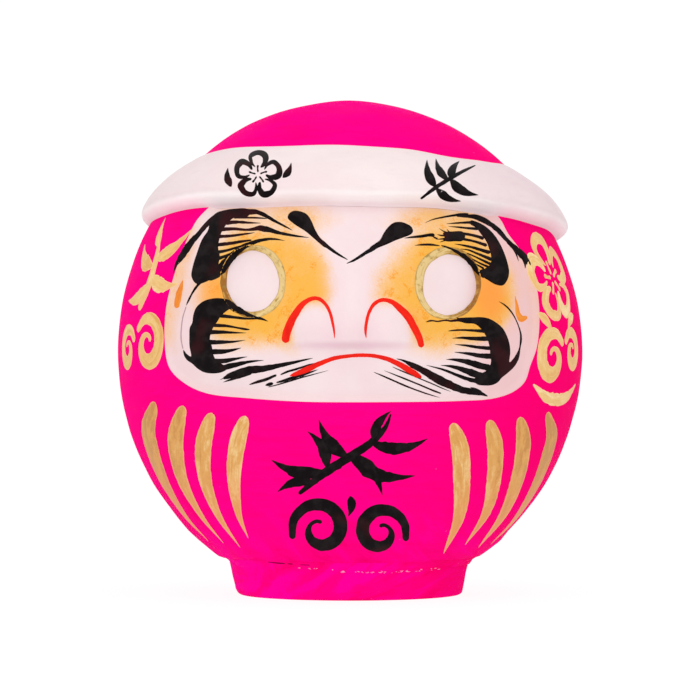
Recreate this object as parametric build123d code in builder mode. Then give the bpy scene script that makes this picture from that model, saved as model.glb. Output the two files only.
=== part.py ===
"""Papier-mache daruma doll on a weighted foot, wearing a moulded headband.

Frame: millimetres, +Z up, the doll faces -Y, origin at the centre of the underside of the foot.

The doll is a hollow paper body, moulded as a front and a rear half and joined by a paper strip
pasted inside the seam. A hollow paper headband is glued round the crown. The body stands on a
tapered paper foot ring, which holds a clay ballast disc over a cardboard sole.
"""

from build123d import *
from math import asin, cos, degrees, radians, sin
import os

# ---- driving dimensions ------------------------------------------------------------------------
HEIGHT = 240.0  # floor to crown
WALL = 3.0  # moulded paper wall of the body

# Outline of the body: tangent arcs from the crown down, each as (radius, where it ends), and the end
# is given as the elevation in degrees that the surface faces there.
CROWN_RADIUS = 105.8
CROWN_CENTRE = HEIGHT - CROWN_RADIUS  # height of the centre of the crown's ball
OUTLINE_ARCS = [(CROWN_RADIUS, 40.0), (135.7, -8.5), (100.0, -36.6)]
LOWEST_ARC_RADIUS = 300.0  # this arc runs on down to the underside
BODY_BOTTOM = 18.0  # height of the body's underside, where the foot starts
BODY_CORNER = 4.0  # rounding of the body's lower corner
THROAT_RADIUS = 42.0  # opening in the underside, where the mould came out

# Face: a shallow recess in the front, outlined on the vertical plane x-z as (x, z).
FACE_DEPTH = 1.0
FACE_OUTLINE = [(0, 92), (50, 94), (74, 104), (84, 128), (76, 160), (62, 188), (0, 196),
                (-62, 188), (-76, 160), (-84, 128), (-74, 104), (-50, 94)]

# Round eye sockets with sloping walls, sunk square to the surface.
EYE_AZIMUTH = 24.0  # degrees either side of the front
EYE_HEIGHT = 146.0
EYE_SURFACE_RADIUS = 108.2  # of the face at that height
EYE_UPWARD = 11.0  # degrees that the surface looks up there
EYE_FLOOR_RADIUS = 14.0
EYE_RIM_RADIUS = 17.0
EYE_DEPTH = 2.6
EYE_BOSS = 2.5  # paper behind and round the socket

# Nose: a broad low mound with a flat underside.
NOSE_HALF_WIDTH = 31.0
NOSE_RISE = 38.0
NOSE_BULGE = 12.0
NOSE_CENTRE_Y = -107.4
NOSE_CENTRE_Z = 119.0
NOSE_LEDGE = 117.0  # height of its underside

# Headband: a hollow bulging ring round the crown. Its section is given in polar form about the
# crown's centre, as (degrees from the vertical, height above the crown's ball).
BAND_TOP = (43.8, 0.0)
BAND_SHOULDER = (52.0, 7.0)
BAND_BULGE = (61.5, 9.6)
BAND_LIP = (67.8, 3.0)
BAND_SUNK = -4.0  # how far the section reaches into the body, which trims it
BAND_WALL = 2.2
BAND_PITCH = 1.5  # degrees that its front is raised
BAND_ROLL = 2.0  # degrees that its -X side is raised

# Foot.
FOOT_TOP_RADIUS = 58.5
FOOT_BOTTOM_RADIUS = 54.5
FOOT_BORE_RADIUS = 50.5
FOOT_EDGE = 2.0  # rounding of its lower edge
FIT = 0.1  # play of the sole and the ballast in the foot's bore
SOLE_THICKNESS = 1.5
BALLAST_THICKNESS = 11.0
GLUE_BEAD = 1.7  # size of the glue line between foot and body

# Paper strip inside the seam.
STRIP_THICKNESS = 0.6
STRIP_WIDTH = 16.0
STRIP_BOTTOM = 30.0


def polar(section_point):
    """A point of the headband's section as (radius, height)."""
    angle, proud = section_point
    reach = CROWN_RADIUS + proud
    return (reach * sin(radians(angle)), CROWN_CENTRE + reach * cos(radians(angle)))


def body_volume(inset):
    """The body as a closed solid, its surface moved inwards by inset."""
    with BuildPart() as volume:
        with BuildSketch(Plane.XZ) as profile:
            with BuildLine():
                centre = Vector(0, CROWN_CENTRE)
                start, previous_radius = 90.0, CROWN_RADIUS
                for radius, end in OUTLINE_ARCS:
                    centre += Vector(1, 0).rotate(Axis.Z, start) * (previous_radius - radius)
                    CenterArc(centre, radius - inset, start, end - start)
                    start, previous_radius = end, radius
                centre += Vector(1, 0).rotate(Axis.Z, start) * (previous_radius - LOWEST_ARC_RADIUS)
                lowest = LOWEST_ARC_RADIUS - inset
                end = degrees(asin((BODY_BOTTOM + inset - centre.Y) / lowest))
                corner = CenterArc(centre, lowest, start, end - start) @ 1
                Polyline(corner, (0, corner.Y), (0, HEIGHT - inset))
            make_face()
            if inset < BODY_CORNER:
                fillet(profile.vertices().sort_by_distance(corner)[:1], BODY_CORNER - inset)
        revolve(axis=Axis.Z)
    return volume.part


outer_volume = body_volume(0)
cavity_volume = body_volume(WALL)

# ---- rear shell --------------------------------------------------------------------------------
with BuildPart() as rear_shell:
    add(outer_volume)
    add(cavity_volume, mode=Mode.SUBTRACT)
    Cylinder(THROAT_RADIUS, 2 * (BODY_BOTTOM + WALL), mode=Mode.SUBTRACT)
    split(bisect_by=Plane.XZ, keep=Keep.BOTTOM)
rear_shell.part.label = "rear_shell"

# ---- front shell, with the face ----------------------------------------------------------------
with BuildPart() as face_cut:
    with BuildSketch(Plane.XZ):
        with BuildLine():
            Spline(*FACE_OUTLINE, periodic=True)
        make_face()
    extrude(amount=HEIGHT)
    add(body_volume(FACE_DEPTH), mode=Mode.SUBTRACT)

with BuildPart() as nose:
    Sphere(1)
    scale(by=(NOSE_HALF_WIDTH, NOSE_BULGE, NOSE_RISE))
nose_mound = nose.part.moved(Location((0, NOSE_CENTRE_Y, NOSE_CENTRE_Z)))

with BuildPart() as nose_cap:
    add(nose_mound)
    split(bisect_by=Plane.XY.offset(NOSE_LEDGE), keep=Keep.TOP)
    add(cavity_volume, mode=Mode.SUBTRACT)


def eye_plane(side):
    """The plane of an eye socket's floor. side is -1 for the doll's right eye, at -X, and 1 for its left."""
    azimuth = radians(side * EYE_AZIMUTH)
    upward = radians(EYE_UPWARD)
    outward = Vector(sin(azimuth) * cos(upward), -cos(azimuth) * cos(upward), sin(upward))
    surface = Vector(EYE_SURFACE_RADIUS * sin(azimuth), -EYE_SURFACE_RADIUS * cos(azimuth), EYE_HEIGHT)
    return Plane(origin=surface - outward * EYE_DEPTH, z_dir=outward)


with BuildPart() as front_shell:
    add(outer_volume)
    add(cavity_volume, mode=Mode.SUBTRACT)
    Cylinder(THROAT_RADIUS, 2 * (BODY_BOTTOM + WALL), mode=Mode.SUBTRACT)
    split(bisect_by=Plane.XZ, keep=Keep.TOP)
    add(face_cut.part, mode=Mode.SUBTRACT)
    add(nose_cap.part)
    with Locations(eye_plane(-1), eye_plane(1)):
        Cylinder(EYE_FLOOR_RADIUS + EYE_BOSS, EYE_BOSS, align=(Align.CENTER, Align.CENTER, Align.MAX))
        Cone(EYE_FLOOR_RADIUS, 2 * EYE_RIM_RADIUS - EYE_FLOOR_RADIUS, 2 * EYE_DEPTH,
             align=(Align.CENTER, Align.CENTER, Align.MIN), mode=Mode.SUBTRACT)
front_shell.part.label = "front_shell"

# ---- paper strip pasted inside the seam --------------------------------------------------------
with BuildPart() as seam_strip:
    add(cavity_volume)
    add(body_volume(WALL + STRIP_THICKNESS), mode=Mode.SUBTRACT)
    with Locations((0, 0, STRIP_BOTTOM)):
        Box(4 * CROWN_RADIUS, STRIP_WIDTH, HEIGHT, align=(Align.CENTER, Align.CENTER, Align.MIN),
            mode=Mode.INTERSECT)
seam_strip.part.label = "seam_strip"

# ---- headband ----------------------------------------------------------------------------------
with BuildSketch(Plane.XZ) as band_section:
    with BuildLine():
        shoulder = ThreePointArc(polar(BAND_TOP), polar(BAND_SHOULDER), polar(BAND_BULGE))
        lip = TangentArc(polar(BAND_BULGE), polar(BAND_LIP), tangent=shoulder % 1)
        Polyline(lip @ 1, polar((BAND_LIP[0], BAND_SUNK)), polar((BAND_TOP[0], BAND_SUNK)), shoulder @ 0)
    make_face()
with BuildSketch(Plane.XZ) as band_hollow:
    add(band_section.sketch)
    offset(amount=-BAND_WALL)

with BuildPart() as band_ring:
    add(band_section.sketch)
    revolve(axis=Axis.Z)
with BuildPart() as band_core:
    add(band_hollow.sketch)
    revolve(axis=Axis.Z)

crown_centre = Location((0, 0, CROWN_CENTRE))
band_tilt = crown_centre * Location((0, 0, 0), (-BAND_PITCH, BAND_ROLL, 0)) * crown_centre.inverse()
with BuildPart() as headband:
    add(band_ring.part.moved(band_tilt))
    add(band_core.part.moved(band_tilt), mode=Mode.SUBTRACT)
    add(outer_volume, mode=Mode.SUBTRACT)
headband.part.label = "headband"

# ---- foot --------------------------------------------------------------------------------------
with BuildPart() as foot_ring:
    with BuildSketch(Plane.XZ) as foot_section:
        with BuildLine():
            Polyline((FOOT_BORE_RADIUS, 0), (FOOT_BOTTOM_RADIUS, 0), (FOOT_TOP_RADIUS, BODY_BOTTOM),
                     (FOOT_BORE_RADIUS, BODY_BOTTOM), close=True)
        make_face()
        fillet(foot_section.vertices().group_by(Axis.Y)[0].sort_by(Axis.X)[-1:], FOOT_EDGE)
    revolve(axis=Axis.Z)
foot_ring.part.label = "foot_ring"

with BuildPart() as sole_disc:
    Cylinder(FOOT_BORE_RADIUS - FIT, SOLE_THICKNESS, align=(Align.CENTER, Align.CENTER, Align.MIN))
sole_disc.part.label = "sole_disc"

with BuildPart() as ballast_disc:
    with Locations((0, 0, SOLE_THICKNESS)):
        Cylinder(FOOT_BORE_RADIUS - FIT, BALLAST_THICKNESS, align=(Align.CENTER, Align.CENTER, Align.MIN))
ballast_disc.part.label = "ballast_disc"

with BuildPart() as glue_bead:
    with BuildSketch(Plane.XZ):
        with BuildLine():
            wall_slope = (FOOT_TOP_RADIUS - FOOT_BOTTOM_RADIUS) / BODY_BOTTOM
            Polyline((FOOT_TOP_RADIUS, BODY_BOTTOM), (FOOT_TOP_RADIUS + GLUE_BEAD, BODY_BOTTOM),
                     (FOOT_TOP_RADIUS - wall_slope * GLUE_BEAD, BODY_BOTTOM - GLUE_BEAD), close=True)
        make_face()
    revolve(axis=Axis.Z)
glue_bead.part.label = "glue_bead"

# ---- export ------------------------------------------------------------------------------------
os.makedirs("parts", exist_ok=True)
for piece in (front_shell, rear_shell, seam_strip, headband, foot_ring, sole_disc, ballast_disc, glue_bead):
    export_step(piece.part, f"parts/{piece.part.label}.step")
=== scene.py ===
"""Looks of the daruma doll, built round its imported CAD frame.

All shaping is done in millimetres in the row frame: +Z up, the doll faces -Y. Meshes are written in metres.
Brushwork is laid out flat, as (u, v) in millimetres on the upright plane through the doll's axis, as that
plane is seen from the camera. It is then laid on the surface along the lines of sight.
"""

import math

import bmesh
import bpy
import numpy as np
from mathutils import Matrix, Vector
from mathutils.bvhtree import BVHTree
from mathutils.geometry import delaunay_2d_cdt


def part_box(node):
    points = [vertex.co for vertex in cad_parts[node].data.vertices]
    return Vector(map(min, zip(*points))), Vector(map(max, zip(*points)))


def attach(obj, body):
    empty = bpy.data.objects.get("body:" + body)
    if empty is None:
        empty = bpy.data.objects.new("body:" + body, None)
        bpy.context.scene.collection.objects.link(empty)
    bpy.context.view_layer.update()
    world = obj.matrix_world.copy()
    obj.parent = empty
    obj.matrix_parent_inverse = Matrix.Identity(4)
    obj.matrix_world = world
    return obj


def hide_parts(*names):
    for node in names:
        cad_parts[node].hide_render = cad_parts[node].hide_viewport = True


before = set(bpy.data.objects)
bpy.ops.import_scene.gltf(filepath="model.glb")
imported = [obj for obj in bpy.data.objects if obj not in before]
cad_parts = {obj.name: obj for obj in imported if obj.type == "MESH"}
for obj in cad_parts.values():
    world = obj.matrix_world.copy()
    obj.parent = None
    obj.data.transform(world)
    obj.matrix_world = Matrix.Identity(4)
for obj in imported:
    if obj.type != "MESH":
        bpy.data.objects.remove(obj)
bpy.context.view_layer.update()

MM = 0.001
rng = np.random.default_rng(24)

# ---- places read from the frame, in millimetres --------------------------------------------------
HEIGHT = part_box("rear_shell")[1].z / MM
CENTRE = np.array([0.0, 0.0, 0.559 * HEIGHT])  # the body is described in polar form about this point
FOOT_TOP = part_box("foot_ring")[1].z / MM

# ---- camera ------------------------------------------------------------------------------------
VIEW_POINT = np.array([0.0, -1225.0, 77.0])
VIEW_TARGET = np.array([0.0, 0.0, 118.6])
VIEW_WIDTH = 341.6  # width of the picture at the doll's axis
TEMPLATE_DROP = 0.55  # how far the template's heights lie above the true ones
SENSOR = 36.0

# ---- relief of the face, in template millimetres ----------------------------------------------
FACE_OUTLINE = [(-70, 188), (-75, 182.5), (-80.3, 171.5), (-85.5, 157), (-89.7, 140), (-90.3, 124),
                (-88, 110.5), (-80.6, 103), (-70, 98.1), (-50, 95.7), (-22, 93.9), (20, 93.8), (52, 94.3),
                (70, 95.6), (79.6, 98.8), (85.2, 103.6), (87.9, 111.5), (91.2, 121), (92.4, 137), (90.5, 153),
                (85, 165.3), (77, 176.4), (73.4, 183), (64, 192), (35, 199), (0, 200), (-35, 199), (-62, 195)]
FACE_DEPTH = 1.0
FACE_BEVEL = 3.0
# Each eye socket: centre and half-sizes of its rim, then of its floor.
SOCKETS = [((-47.8, 153.0), (16.4, 17.9), (-49.2, 153.9), (13.4, 15.7)),
           ((48.1, 152.0), (16.4, 17.9), (50.1, 152.2), (13.8, 15.5))]
SOCKET_DEPTH = 2.7


def ramp(x, low, high):
    """Rises smoothly from 0 at low to 1 at high, which may lie below low."""
    t = np.clip((x - low) / (high - low), 0, 1)
    return t * t * (3 - 2 * t)


def waves(seed, count, longest, shortest):
    """A smooth random function of points in space, about -1 to 1, with wavelengths in that range."""
    draw = np.random.default_rng(seed)
    directions = draw.normal(size=(count, 3))
    directions /= np.linalg.norm(directions, axis=1, keepdims=True)
    lengths = np.geomspace(longest, shortest, count)
    phases = draw.uniform(0, 2 * math.pi, count)
    strengths = np.sqrt(lengths / lengths.sum())

    def field(points):
        turns = points @ (directions / lengths[:, None]).T
        return np.sin(2 * math.pi * turns + phases) @ strengths

    return field


handmade = waves(3, 9, 95.0, 22.0)
HANDMADE_HEIGHT = 0.15
# How the hand-formed body departs from the turned shape: (height, how much wider, how far off towards -X).
LOPSIDED = [(20, -1.7, 0.45), (26, 0.2, 0.2), (31, 0.5, 0.9), (37, 0.8, 0.6), (45, 0.6, 0.35),
            (52, 0.2, 0.25), (61, -0.5, 0.15), (73, -0.95, 0.25), (85, -0.95, 0.1), (96, -0.5, -0.1),
            (114, 0.15, -0.15), (143, 0.4, 0.1), (172, 0.4, 0.4), (200, 0.2, 0.4), (218, 0.15, 0.5),
            (228, 0.1, 1.0), (233, -0.9, 1.1), (237, -2.0, 1.0), (240, -2.0, 1.0)]


# ---- the smooth body ---------------------------------------------------------------------------
def tree_of(objects):
    """One search tree over several mesh objects, in millimetres."""
    corners, faces = [], []
    for item in objects:
        start = len(corners)
        corners += [vertex.co / MM for vertex in item.data.vertices]
        faces += [[start + index for index in polygon.vertices] for polygon in item.data.polygons]
    return BVHTree.FromPolygons(corners, faces)


def read_profile():
    """The body's radius about CENTRE, against the angle from straight up, from the rear shell."""
    tree = tree_of([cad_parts["rear_shell"]])
    angles = np.radians(np.arange(0.2, 157.0, 0.4))
    radii = []
    for angle in angles:
        outward = Vector((0.02, math.sin(angle), math.cos(angle))).normalized()
        hit = tree.ray_cast(Vector(CENTRE) + 2 * HEIGHT * outward, -outward)
        radii.append((hit[0] - Vector(CENTRE)).length)
    padded = np.concatenate([radii[:4][::-1], radii, [radii[-1]] * 4])
    weights = np.exp(-np.linspace(-1.6, 1.6, 9) ** 2)
    return angles, np.convolve(padded, weights / weights.sum(), "valid")


profile_angles, profile_radii = read_profile()
profile_slopes = np.gradient(profile_radii, profile_angles)


def body_radius(angle):
    return np.interp(angle, profile_angles, profile_radii)


def lopsided(places):
    """Moves places of the turned body to where they are on the hand-formed one."""
    heights, swells, leans = np.array(LOPSIDED).T
    reach = np.hypot(places[:, 0], places[:, 1])
    swell = np.interp(places[:, 2], heights, swells) * ramp(reach, 0, 14)
    moved = places.copy()
    moved[:, :2] *= (1 + swell / np.maximum(reach, 1))[:, None]
    moved[:, 0] -= np.interp(places[:, 2], heights, leans)
    return moved


def body_skin(points):
    """Carries points to the body's smooth surface along rays from CENTRE, and gives outward normals there."""
    arms = points - CENTRE
    directions = arms / np.linalg.norm(arms, axis=1, keepdims=True)
    angle = np.arccos(np.clip(directions[:, 2], -1, 1))
    radius = body_radius(angle)
    slope = np.interp(angle, profile_angles, profile_slopes) / radius
    level = np.maximum(np.hypot(directions[:, 0], directions[:, 1]), 1e-6)
    downward = np.stack([directions[:, 0] / level * directions[:, 2],
                         directions[:, 1] / level * directions[:, 2], -level], axis=1)
    normals = directions - slope[:, None] * downward
    normals /= np.linalg.norm(normals, axis=1, keepdims=True)
    return lopsided(CENTRE + directions * radius[:, None]), normals


def on_body(template):
    """Where lines of sight through template points meet the body's smooth surface, with normals there."""
    aims = template - (0, TEMPLATE_DROP)
    for _ in range(3):
        rays = np.column_stack([aims[:, 0], np.zeros(len(aims)), aims[:, 1]]) - VIEW_POINT
        near, far = np.full(len(rays), 0.85), np.full(len(rays), 1.0)
        for _ in range(26):
            middle = (near + far) / 2
            arms = VIEW_POINT + rays * middle[:, None] - CENTRE
            reach = np.linalg.norm(arms, axis=1)
            outside = reach > body_radius(np.arccos(np.clip(arms[:, 2] / reach, -1, 1)))
            near = np.where(outside, middle, near)
            far = np.where(outside, far, middle)
        places, normals = body_skin(VIEW_POINT + rays * far[:, None])
        aims = aims + template - to_template(places)
    return places, normals


def to_template(points):
    """Template places of points in space, as the camera sees them."""
    rays = points - VIEW_POINT
    share = -VIEW_POINT[1] / rays[:, 1]
    places = VIEW_POINT + rays * share[:, None]
    return places[:, [0, 2]] + (0, TEMPLATE_DROP)


# ---- flat shapes -------------------------------------------------------------------------------
def smooth(points, step, closed=False):
    """Points about step apart on a smooth curve through the given ones. Further columns follow along."""
    given = np.array(points, float)
    if closed:
        given = np.vstack([given[-1:], given, given[:2]])
    else:
        given = np.vstack([2 * given[0] - given[1], given, 2 * given[-1] - given[-2]])
    gaps = np.linalg.norm(np.diff(given[:, :2], axis=0), axis=1)
    times = np.concatenate([[0], np.cumsum(np.sqrt(gaps) + 1e-9)])
    slopes = np.diff(given, axis=0) / np.diff(times)[:, None]
    result = []
    for i in range(1, len(given) - 2):
        span = times[i + 1] - times[i]
        wide_before = (given[i + 1] - given[i - 1]) / (times[i + 1] - times[i - 1])
        wide_after = (given[i + 2] - given[i]) / (times[i + 2] - times[i])
        leave = (slopes[i - 1] - wide_before + slopes[i]) * span
        arrive = (slopes[i] - wide_after + slopes[i + 1]) * span
        count = max(1, round(gaps[i] / step))
        t = (np.arange(count) / count)[:, None]
        result.append((2 * t**3 - 3 * t**2 + 1) * given[i] + (t**3 - 2 * t**2 + t) * leave
                      + (3 * t**2 - 2 * t**3) * given[i + 1] + (t**3 - t**2) * arrive)
    if not closed:
        result.append(given[-2:-1])
    return np.vstack(result)


def ellipse(centre, half_sizes, count=120):
    turns = np.linspace(0, 2 * math.pi, count, endpoint=False)
    return np.column_stack([centre[0] + half_sizes[0] * np.cos(turns),
                            centre[1] + half_sizes[1] * np.sin(turns)])


def depth_inside(points, loop):
    """Distance of points from a closed loop, positive inside it."""
    starts, ends = loop, np.roll(loop, -1, axis=0)
    distance = np.full(len(points), np.inf)
    inside = np.zeros(len(points), bool)
    for a, b in zip(starts, ends):
        run = b - a
        along = np.clip(((points - a) @ run) / max(run @ run, 1e-12), 0, 1)
        distance = np.minimum(distance, np.hypot(*(points - a - along[:, None] * run).T))
        if a[1] != b[1]:
            crosses = (points[:, 1] < a[1]) != (points[:, 1] < b[1])
            reach = a[0] + (points[:, 1] - a[1]) / (b[1] - a[1]) * run[0]
            inside ^= crosses & (points[:, 0] < reach)
    return np.where(inside, distance, -distance)


def fill(loop, spacing, inner_loops=(), spine=()):
    """Fills a closed loop with triangles that follow the inner loops. Gives places, triangles and rim places.

    Points of the spine that lie inside the loop are places too."""
    low, high = loop.min(axis=0), loop.max(axis=0)
    columns = np.arange(low[0], high[0] + spacing, spacing)
    rows = np.arange(low[1], high[1] + spacing, spacing * 0.87)
    grid = np.array([(u + (k % 2) * spacing / 2, v) for k, v in enumerate(rows) for u in columns])
    grid = grid.reshape(-1, 2)
    keep = depth_inside(grid, loop) > spacing * 0.45
    for inner in inner_loops:
        keep &= np.abs(depth_inside(grid, inner)) > spacing * 0.45
    grid = grid[keep]
    if len(spine):
        spine = spine[depth_inside(spine, loop) > 0.03]
        if len(grid) and len(spine):
            gaps = np.hypot(*(grid[:, None, :] - spine[None, :, :]).transpose(2, 0, 1))
            grid = grid[gaps.min(axis=1) > spacing * 0.5]
        grid = np.vstack([grid.reshape(-1, 2), spine.reshape(-1, 2)])
    places = [loop, *inner_loops, grid]
    edges, start = [], 0
    for ring in (loop, *inner_loops):
        edges += [(start + i, start + (i + 1) % len(ring)) for i in range(len(ring))]
        start += len(ring)
    found = delaunay_2d_cdt([Vector(p) for p in np.vstack(places)], edges, [], 1, 1e-6)
    spots = np.array([tuple(p) for p in found[0]])
    triangles = [list(face) for face in found[2]]
    uses = {}
    for a, b, c in triangles:
        for pair in ((a, b), (b, c), (c, a)):
            uses[frozenset(pair)] = uses.get(frozenset(pair), 0) + 1
    rim = np.zeros(len(spots), bool)
    for pair, count in uses.items():
        if count == 1:
            rim[list(pair)] = True
    return spots, triangles, rim


# ---- relief ------------------------------------------------------------------------------------
face_loop = smooth(FACE_OUTLINE, 1.2, closed=True)


def socket_share(template, socket):
    """0 at a socket's rim and outside it, 1 on its floor."""
    centre, rim, floor_centre, floor = socket
    u, v = template.T
    to_rim = np.hypot((u - centre[0]) / rim[0], (v - centre[1]) / rim[1])
    to_floor = np.hypot((u - floor_centre[0]) / floor[0], (v - floor_centre[1]) / floor[1])
    outside, beyond_floor = np.maximum(1 - to_rim, 0), np.maximum(to_floor - 1, 0)
    return np.where(to_rim >= 1, 0, outside / np.maximum(outside + beyond_floor, 1e-9))


def near_socket(template):
    """1 in the eye sockets and just round them, 0 elsewhere."""
    near = np.zeros(len(template))
    for centre, rim, _, _ in SOCKETS:
        to_rim = np.hypot((template[:, 0] - centre[0]) / rim[0], (template[:, 1] - centre[1]) / rim[1])
        near = np.maximum(near, ramp(to_rim, 1.3, 1.12))
    return near


def nose_height(template):
    u, v = template.T
    bridge = 3.0 * np.exp(-((u - 0.5) / 11) ** 2) * ramp(v, 172, 132)
    tip = 2.2 * np.exp(-((u - 0.5) / 9) ** 2 - ((v - 127) / 9) ** 2)
    wings = sum(3.4 * np.exp(-((u - side) / 11) ** 2 - ((v - 129) / 11) ** 2) for side in (-18.5, 20))
    return (bridge + tip + wings) * ramp(v, 118.6, 123.4)


def relief(template):
    """How far the face stands out from the smooth body."""
    height = -FACE_DEPTH * ramp(depth_inside(template, face_loop), 0, FACE_BEVEL)
    height += nose_height(template)
    cheeks = sum(1.2 * np.exp(-((template[:, 0] - side) / 20) ** 2 - ((template[:, 1] - 112) / 12) ** 2)
                 for side in (-52, 52))
    height += cheeks * ramp(depth_inside(template, face_loop), 0, 12)
    for socket in SOCKETS:
        height -= SOCKET_DEPTH * socket_share(template, socket)
    return height


# ---- meshes ------------------------------------------------------------------------------------
SHARP_ANGLE = math.radians(55)


def make_piece(name, places, faces, material, replaces=(), values=None):
    """A smooth-shaded piece of the doll from places in millimetres, with optional values at its points."""
    mesh = bpy.data.meshes.new(name)
    mesh.from_pydata((np.asarray(places) * MM).tolist(), [], [list(map(int, face)) for face in faces])
    mesh.polygons.foreach_set("use_smooth", np.ones(len(mesh.polygons), bool))
    for key, numbers in (values or {}).items():
        kind = "FLOAT_VECTOR" if np.ndim(numbers) == 2 else "FLOAT"
        attribute = mesh.attributes.new(key, kind, "POINT")
        attribute.data.foreach_set("vector" if kind == "FLOAT_VECTOR" else "value",
                                   np.asarray(numbers, np.float32).ravel())
    mesh.materials.append(material)
    mesh.set_sharp_from_angle(angle=SHARP_ANGLE)
    piece = bpy.data.objects.new(name, mesh)
    bpy.context.scene.collection.objects.link(piece)
    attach(piece, "root")
    if replaces:
        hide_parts(*replaces)
    return piece


def coat(spots, triangles, top, under):
    """Places and faces of a closed coat of paint between its top and its underside."""
    uses = {}
    for a, b, c in triangles:
        for pair in ((a, b), (b, c), (c, a)):
            uses[pair] = True
    count = len(spots)
    faces = [tuple(face) for face in triangles] + [(c + count, b + count, a + count) for a, b, c in triangles]
    faces += [(b, a, a + count, b + count) for a, b in uses if (b, a) not in uses]
    return np.vstack([top, under]), faces


def merge_doubles(piece, distance=0.01):
    shape = bmesh.new()
    shape.from_mesh(piece.data)
    bmesh.ops.remove_doubles(shape, verts=shape.verts, dist=distance * MM)
    bmesh.ops.recalc_face_normals(shape, faces=shape.faces)
    shape.to_mesh(piece.data)
    shape.free()


def grid_faces(rows, columns, start=0, flipped=False):
    quads = []
    for i in range(rows - 1):
        for j in range(columns - 1):
            a = start + i * columns + j
            quad = (a, a + 1, a + columns + 1, a + columns)
            quads.append(quad[::-1] if flipped else quad)
    return quads


def grid_rim(rows, columns):
    """Indices round the edge of a grid, in order."""
    top = list(range(columns))
    right = [i * columns + columns - 1 for i in range(1, rows)]
    bottom = [(rows - 1) * columns + j for j in range(columns - 2, -1, -1)]
    left = [i * columns for i in range(rows - 2, 0, -1)]
    return top + right + bottom + left


# ---- materials ---------------------------------------------------------------------------------
class Shader:
    """A small helper that lays out the nodes of one material."""

    def __init__(self, name, **sockets):
        self.material = bpy.data.materials.new(name)
        self.material.use_nodes = True
        self.tree = self.material.node_tree
        self.surface = self.tree.nodes["Principled BSDF"]
        for key, value in sockets.items():
            self.surface.inputs[key.replace("_", " ")].default_value = value
        self.place = self.add("ShaderNodeTexCoord").outputs["Object"]

    def add(self, kind, **settings):
        node = self.tree.nodes.new(kind)
        for key, value in settings.items():
            setattr(node, key, value)
        return node

    def link(self, source, target):
        self.tree.links.new(source, target)

    def put(self, socket, value):
        if isinstance(value, bpy.types.NodeSocket):
            self.link(value, socket)
        else:
            socket.default_value = value

    def value_of(self, attribute, part="Fac"):
        return self.add("ShaderNodeAttribute", attribute_name=attribute).outputs[part]

    def noise(self, scale, detail=3.0, roughness=0.55, stretch=None, place=None, distortion=0.0):
        place = place or self.place
        if stretch:
            mapping = self.add("ShaderNodeMapping")
            self.link(place, mapping.inputs["Vector"])
            mapping.inputs["Scale"].default_value = stretch
            place = mapping.outputs["Vector"]
        node = self.add("ShaderNodeTexNoise")
        self.link(place, node.inputs["Vector"])
        node.inputs["Scale"].default_value = scale
        node.inputs["Detail"].default_value = detail
        node.inputs["Roughness"].default_value = roughness
        node.inputs["Distortion"].default_value = distortion
        return node.outputs["Fac"]

    def math(self, operation, a, b=0.0, clamp=False):
        node = self.add("ShaderNodeMath", operation=operation, use_clamp=clamp)
        self.put(node.inputs[0], a)
        self.put(node.inputs[1], b)
        return node.outputs[0]

    def span(self, value, low, high, to_low=0.0, to_high=1.0):
        """Carries value from the range low..high to another range."""
        node = self.add("ShaderNodeMapRange", interpolation_type="SMOOTHSTEP")
        self.put(node.inputs["Value"], value)
        for key, number in zip(("From Min", "From Max", "To Min", "To Max"), (low, high, to_low, to_high)):
            node.inputs[key].default_value = number
        return node.outputs["Result"]

    def blend(self, share, first, second, mode="MIX"):
        node = self.add("ShaderNodeMix", data_type="RGBA", blend_type=mode)
        for socket, value in zip((node.inputs[0], node.inputs[6], node.inputs[7]), (share, first, second)):
            self.put(socket, value if isinstance(value, (bpy.types.NodeSocket, float)) else (*value, 1.0))
        return node.outputs[2]

    def bump(self, height, distance, strength=1.0, under=None):
        node = self.add("ShaderNodeBump")
        self.link(height, node.inputs["Height"])
        node.inputs["Distance"].default_value = distance * MM
        node.inputs["Strength"].default_value = strength
        if under:
            self.link(under, node.inputs["Normal"])
        return node.outputs["Normal"]

    def finish(self, colour, roughness, normal):
        self.link(colour, self.surface.inputs["Base Color"])
        self.link(roughness, self.surface.inputs["Roughness"])
        self.link(normal, self.surface.inputs["Normal"])
        return self.material


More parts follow.
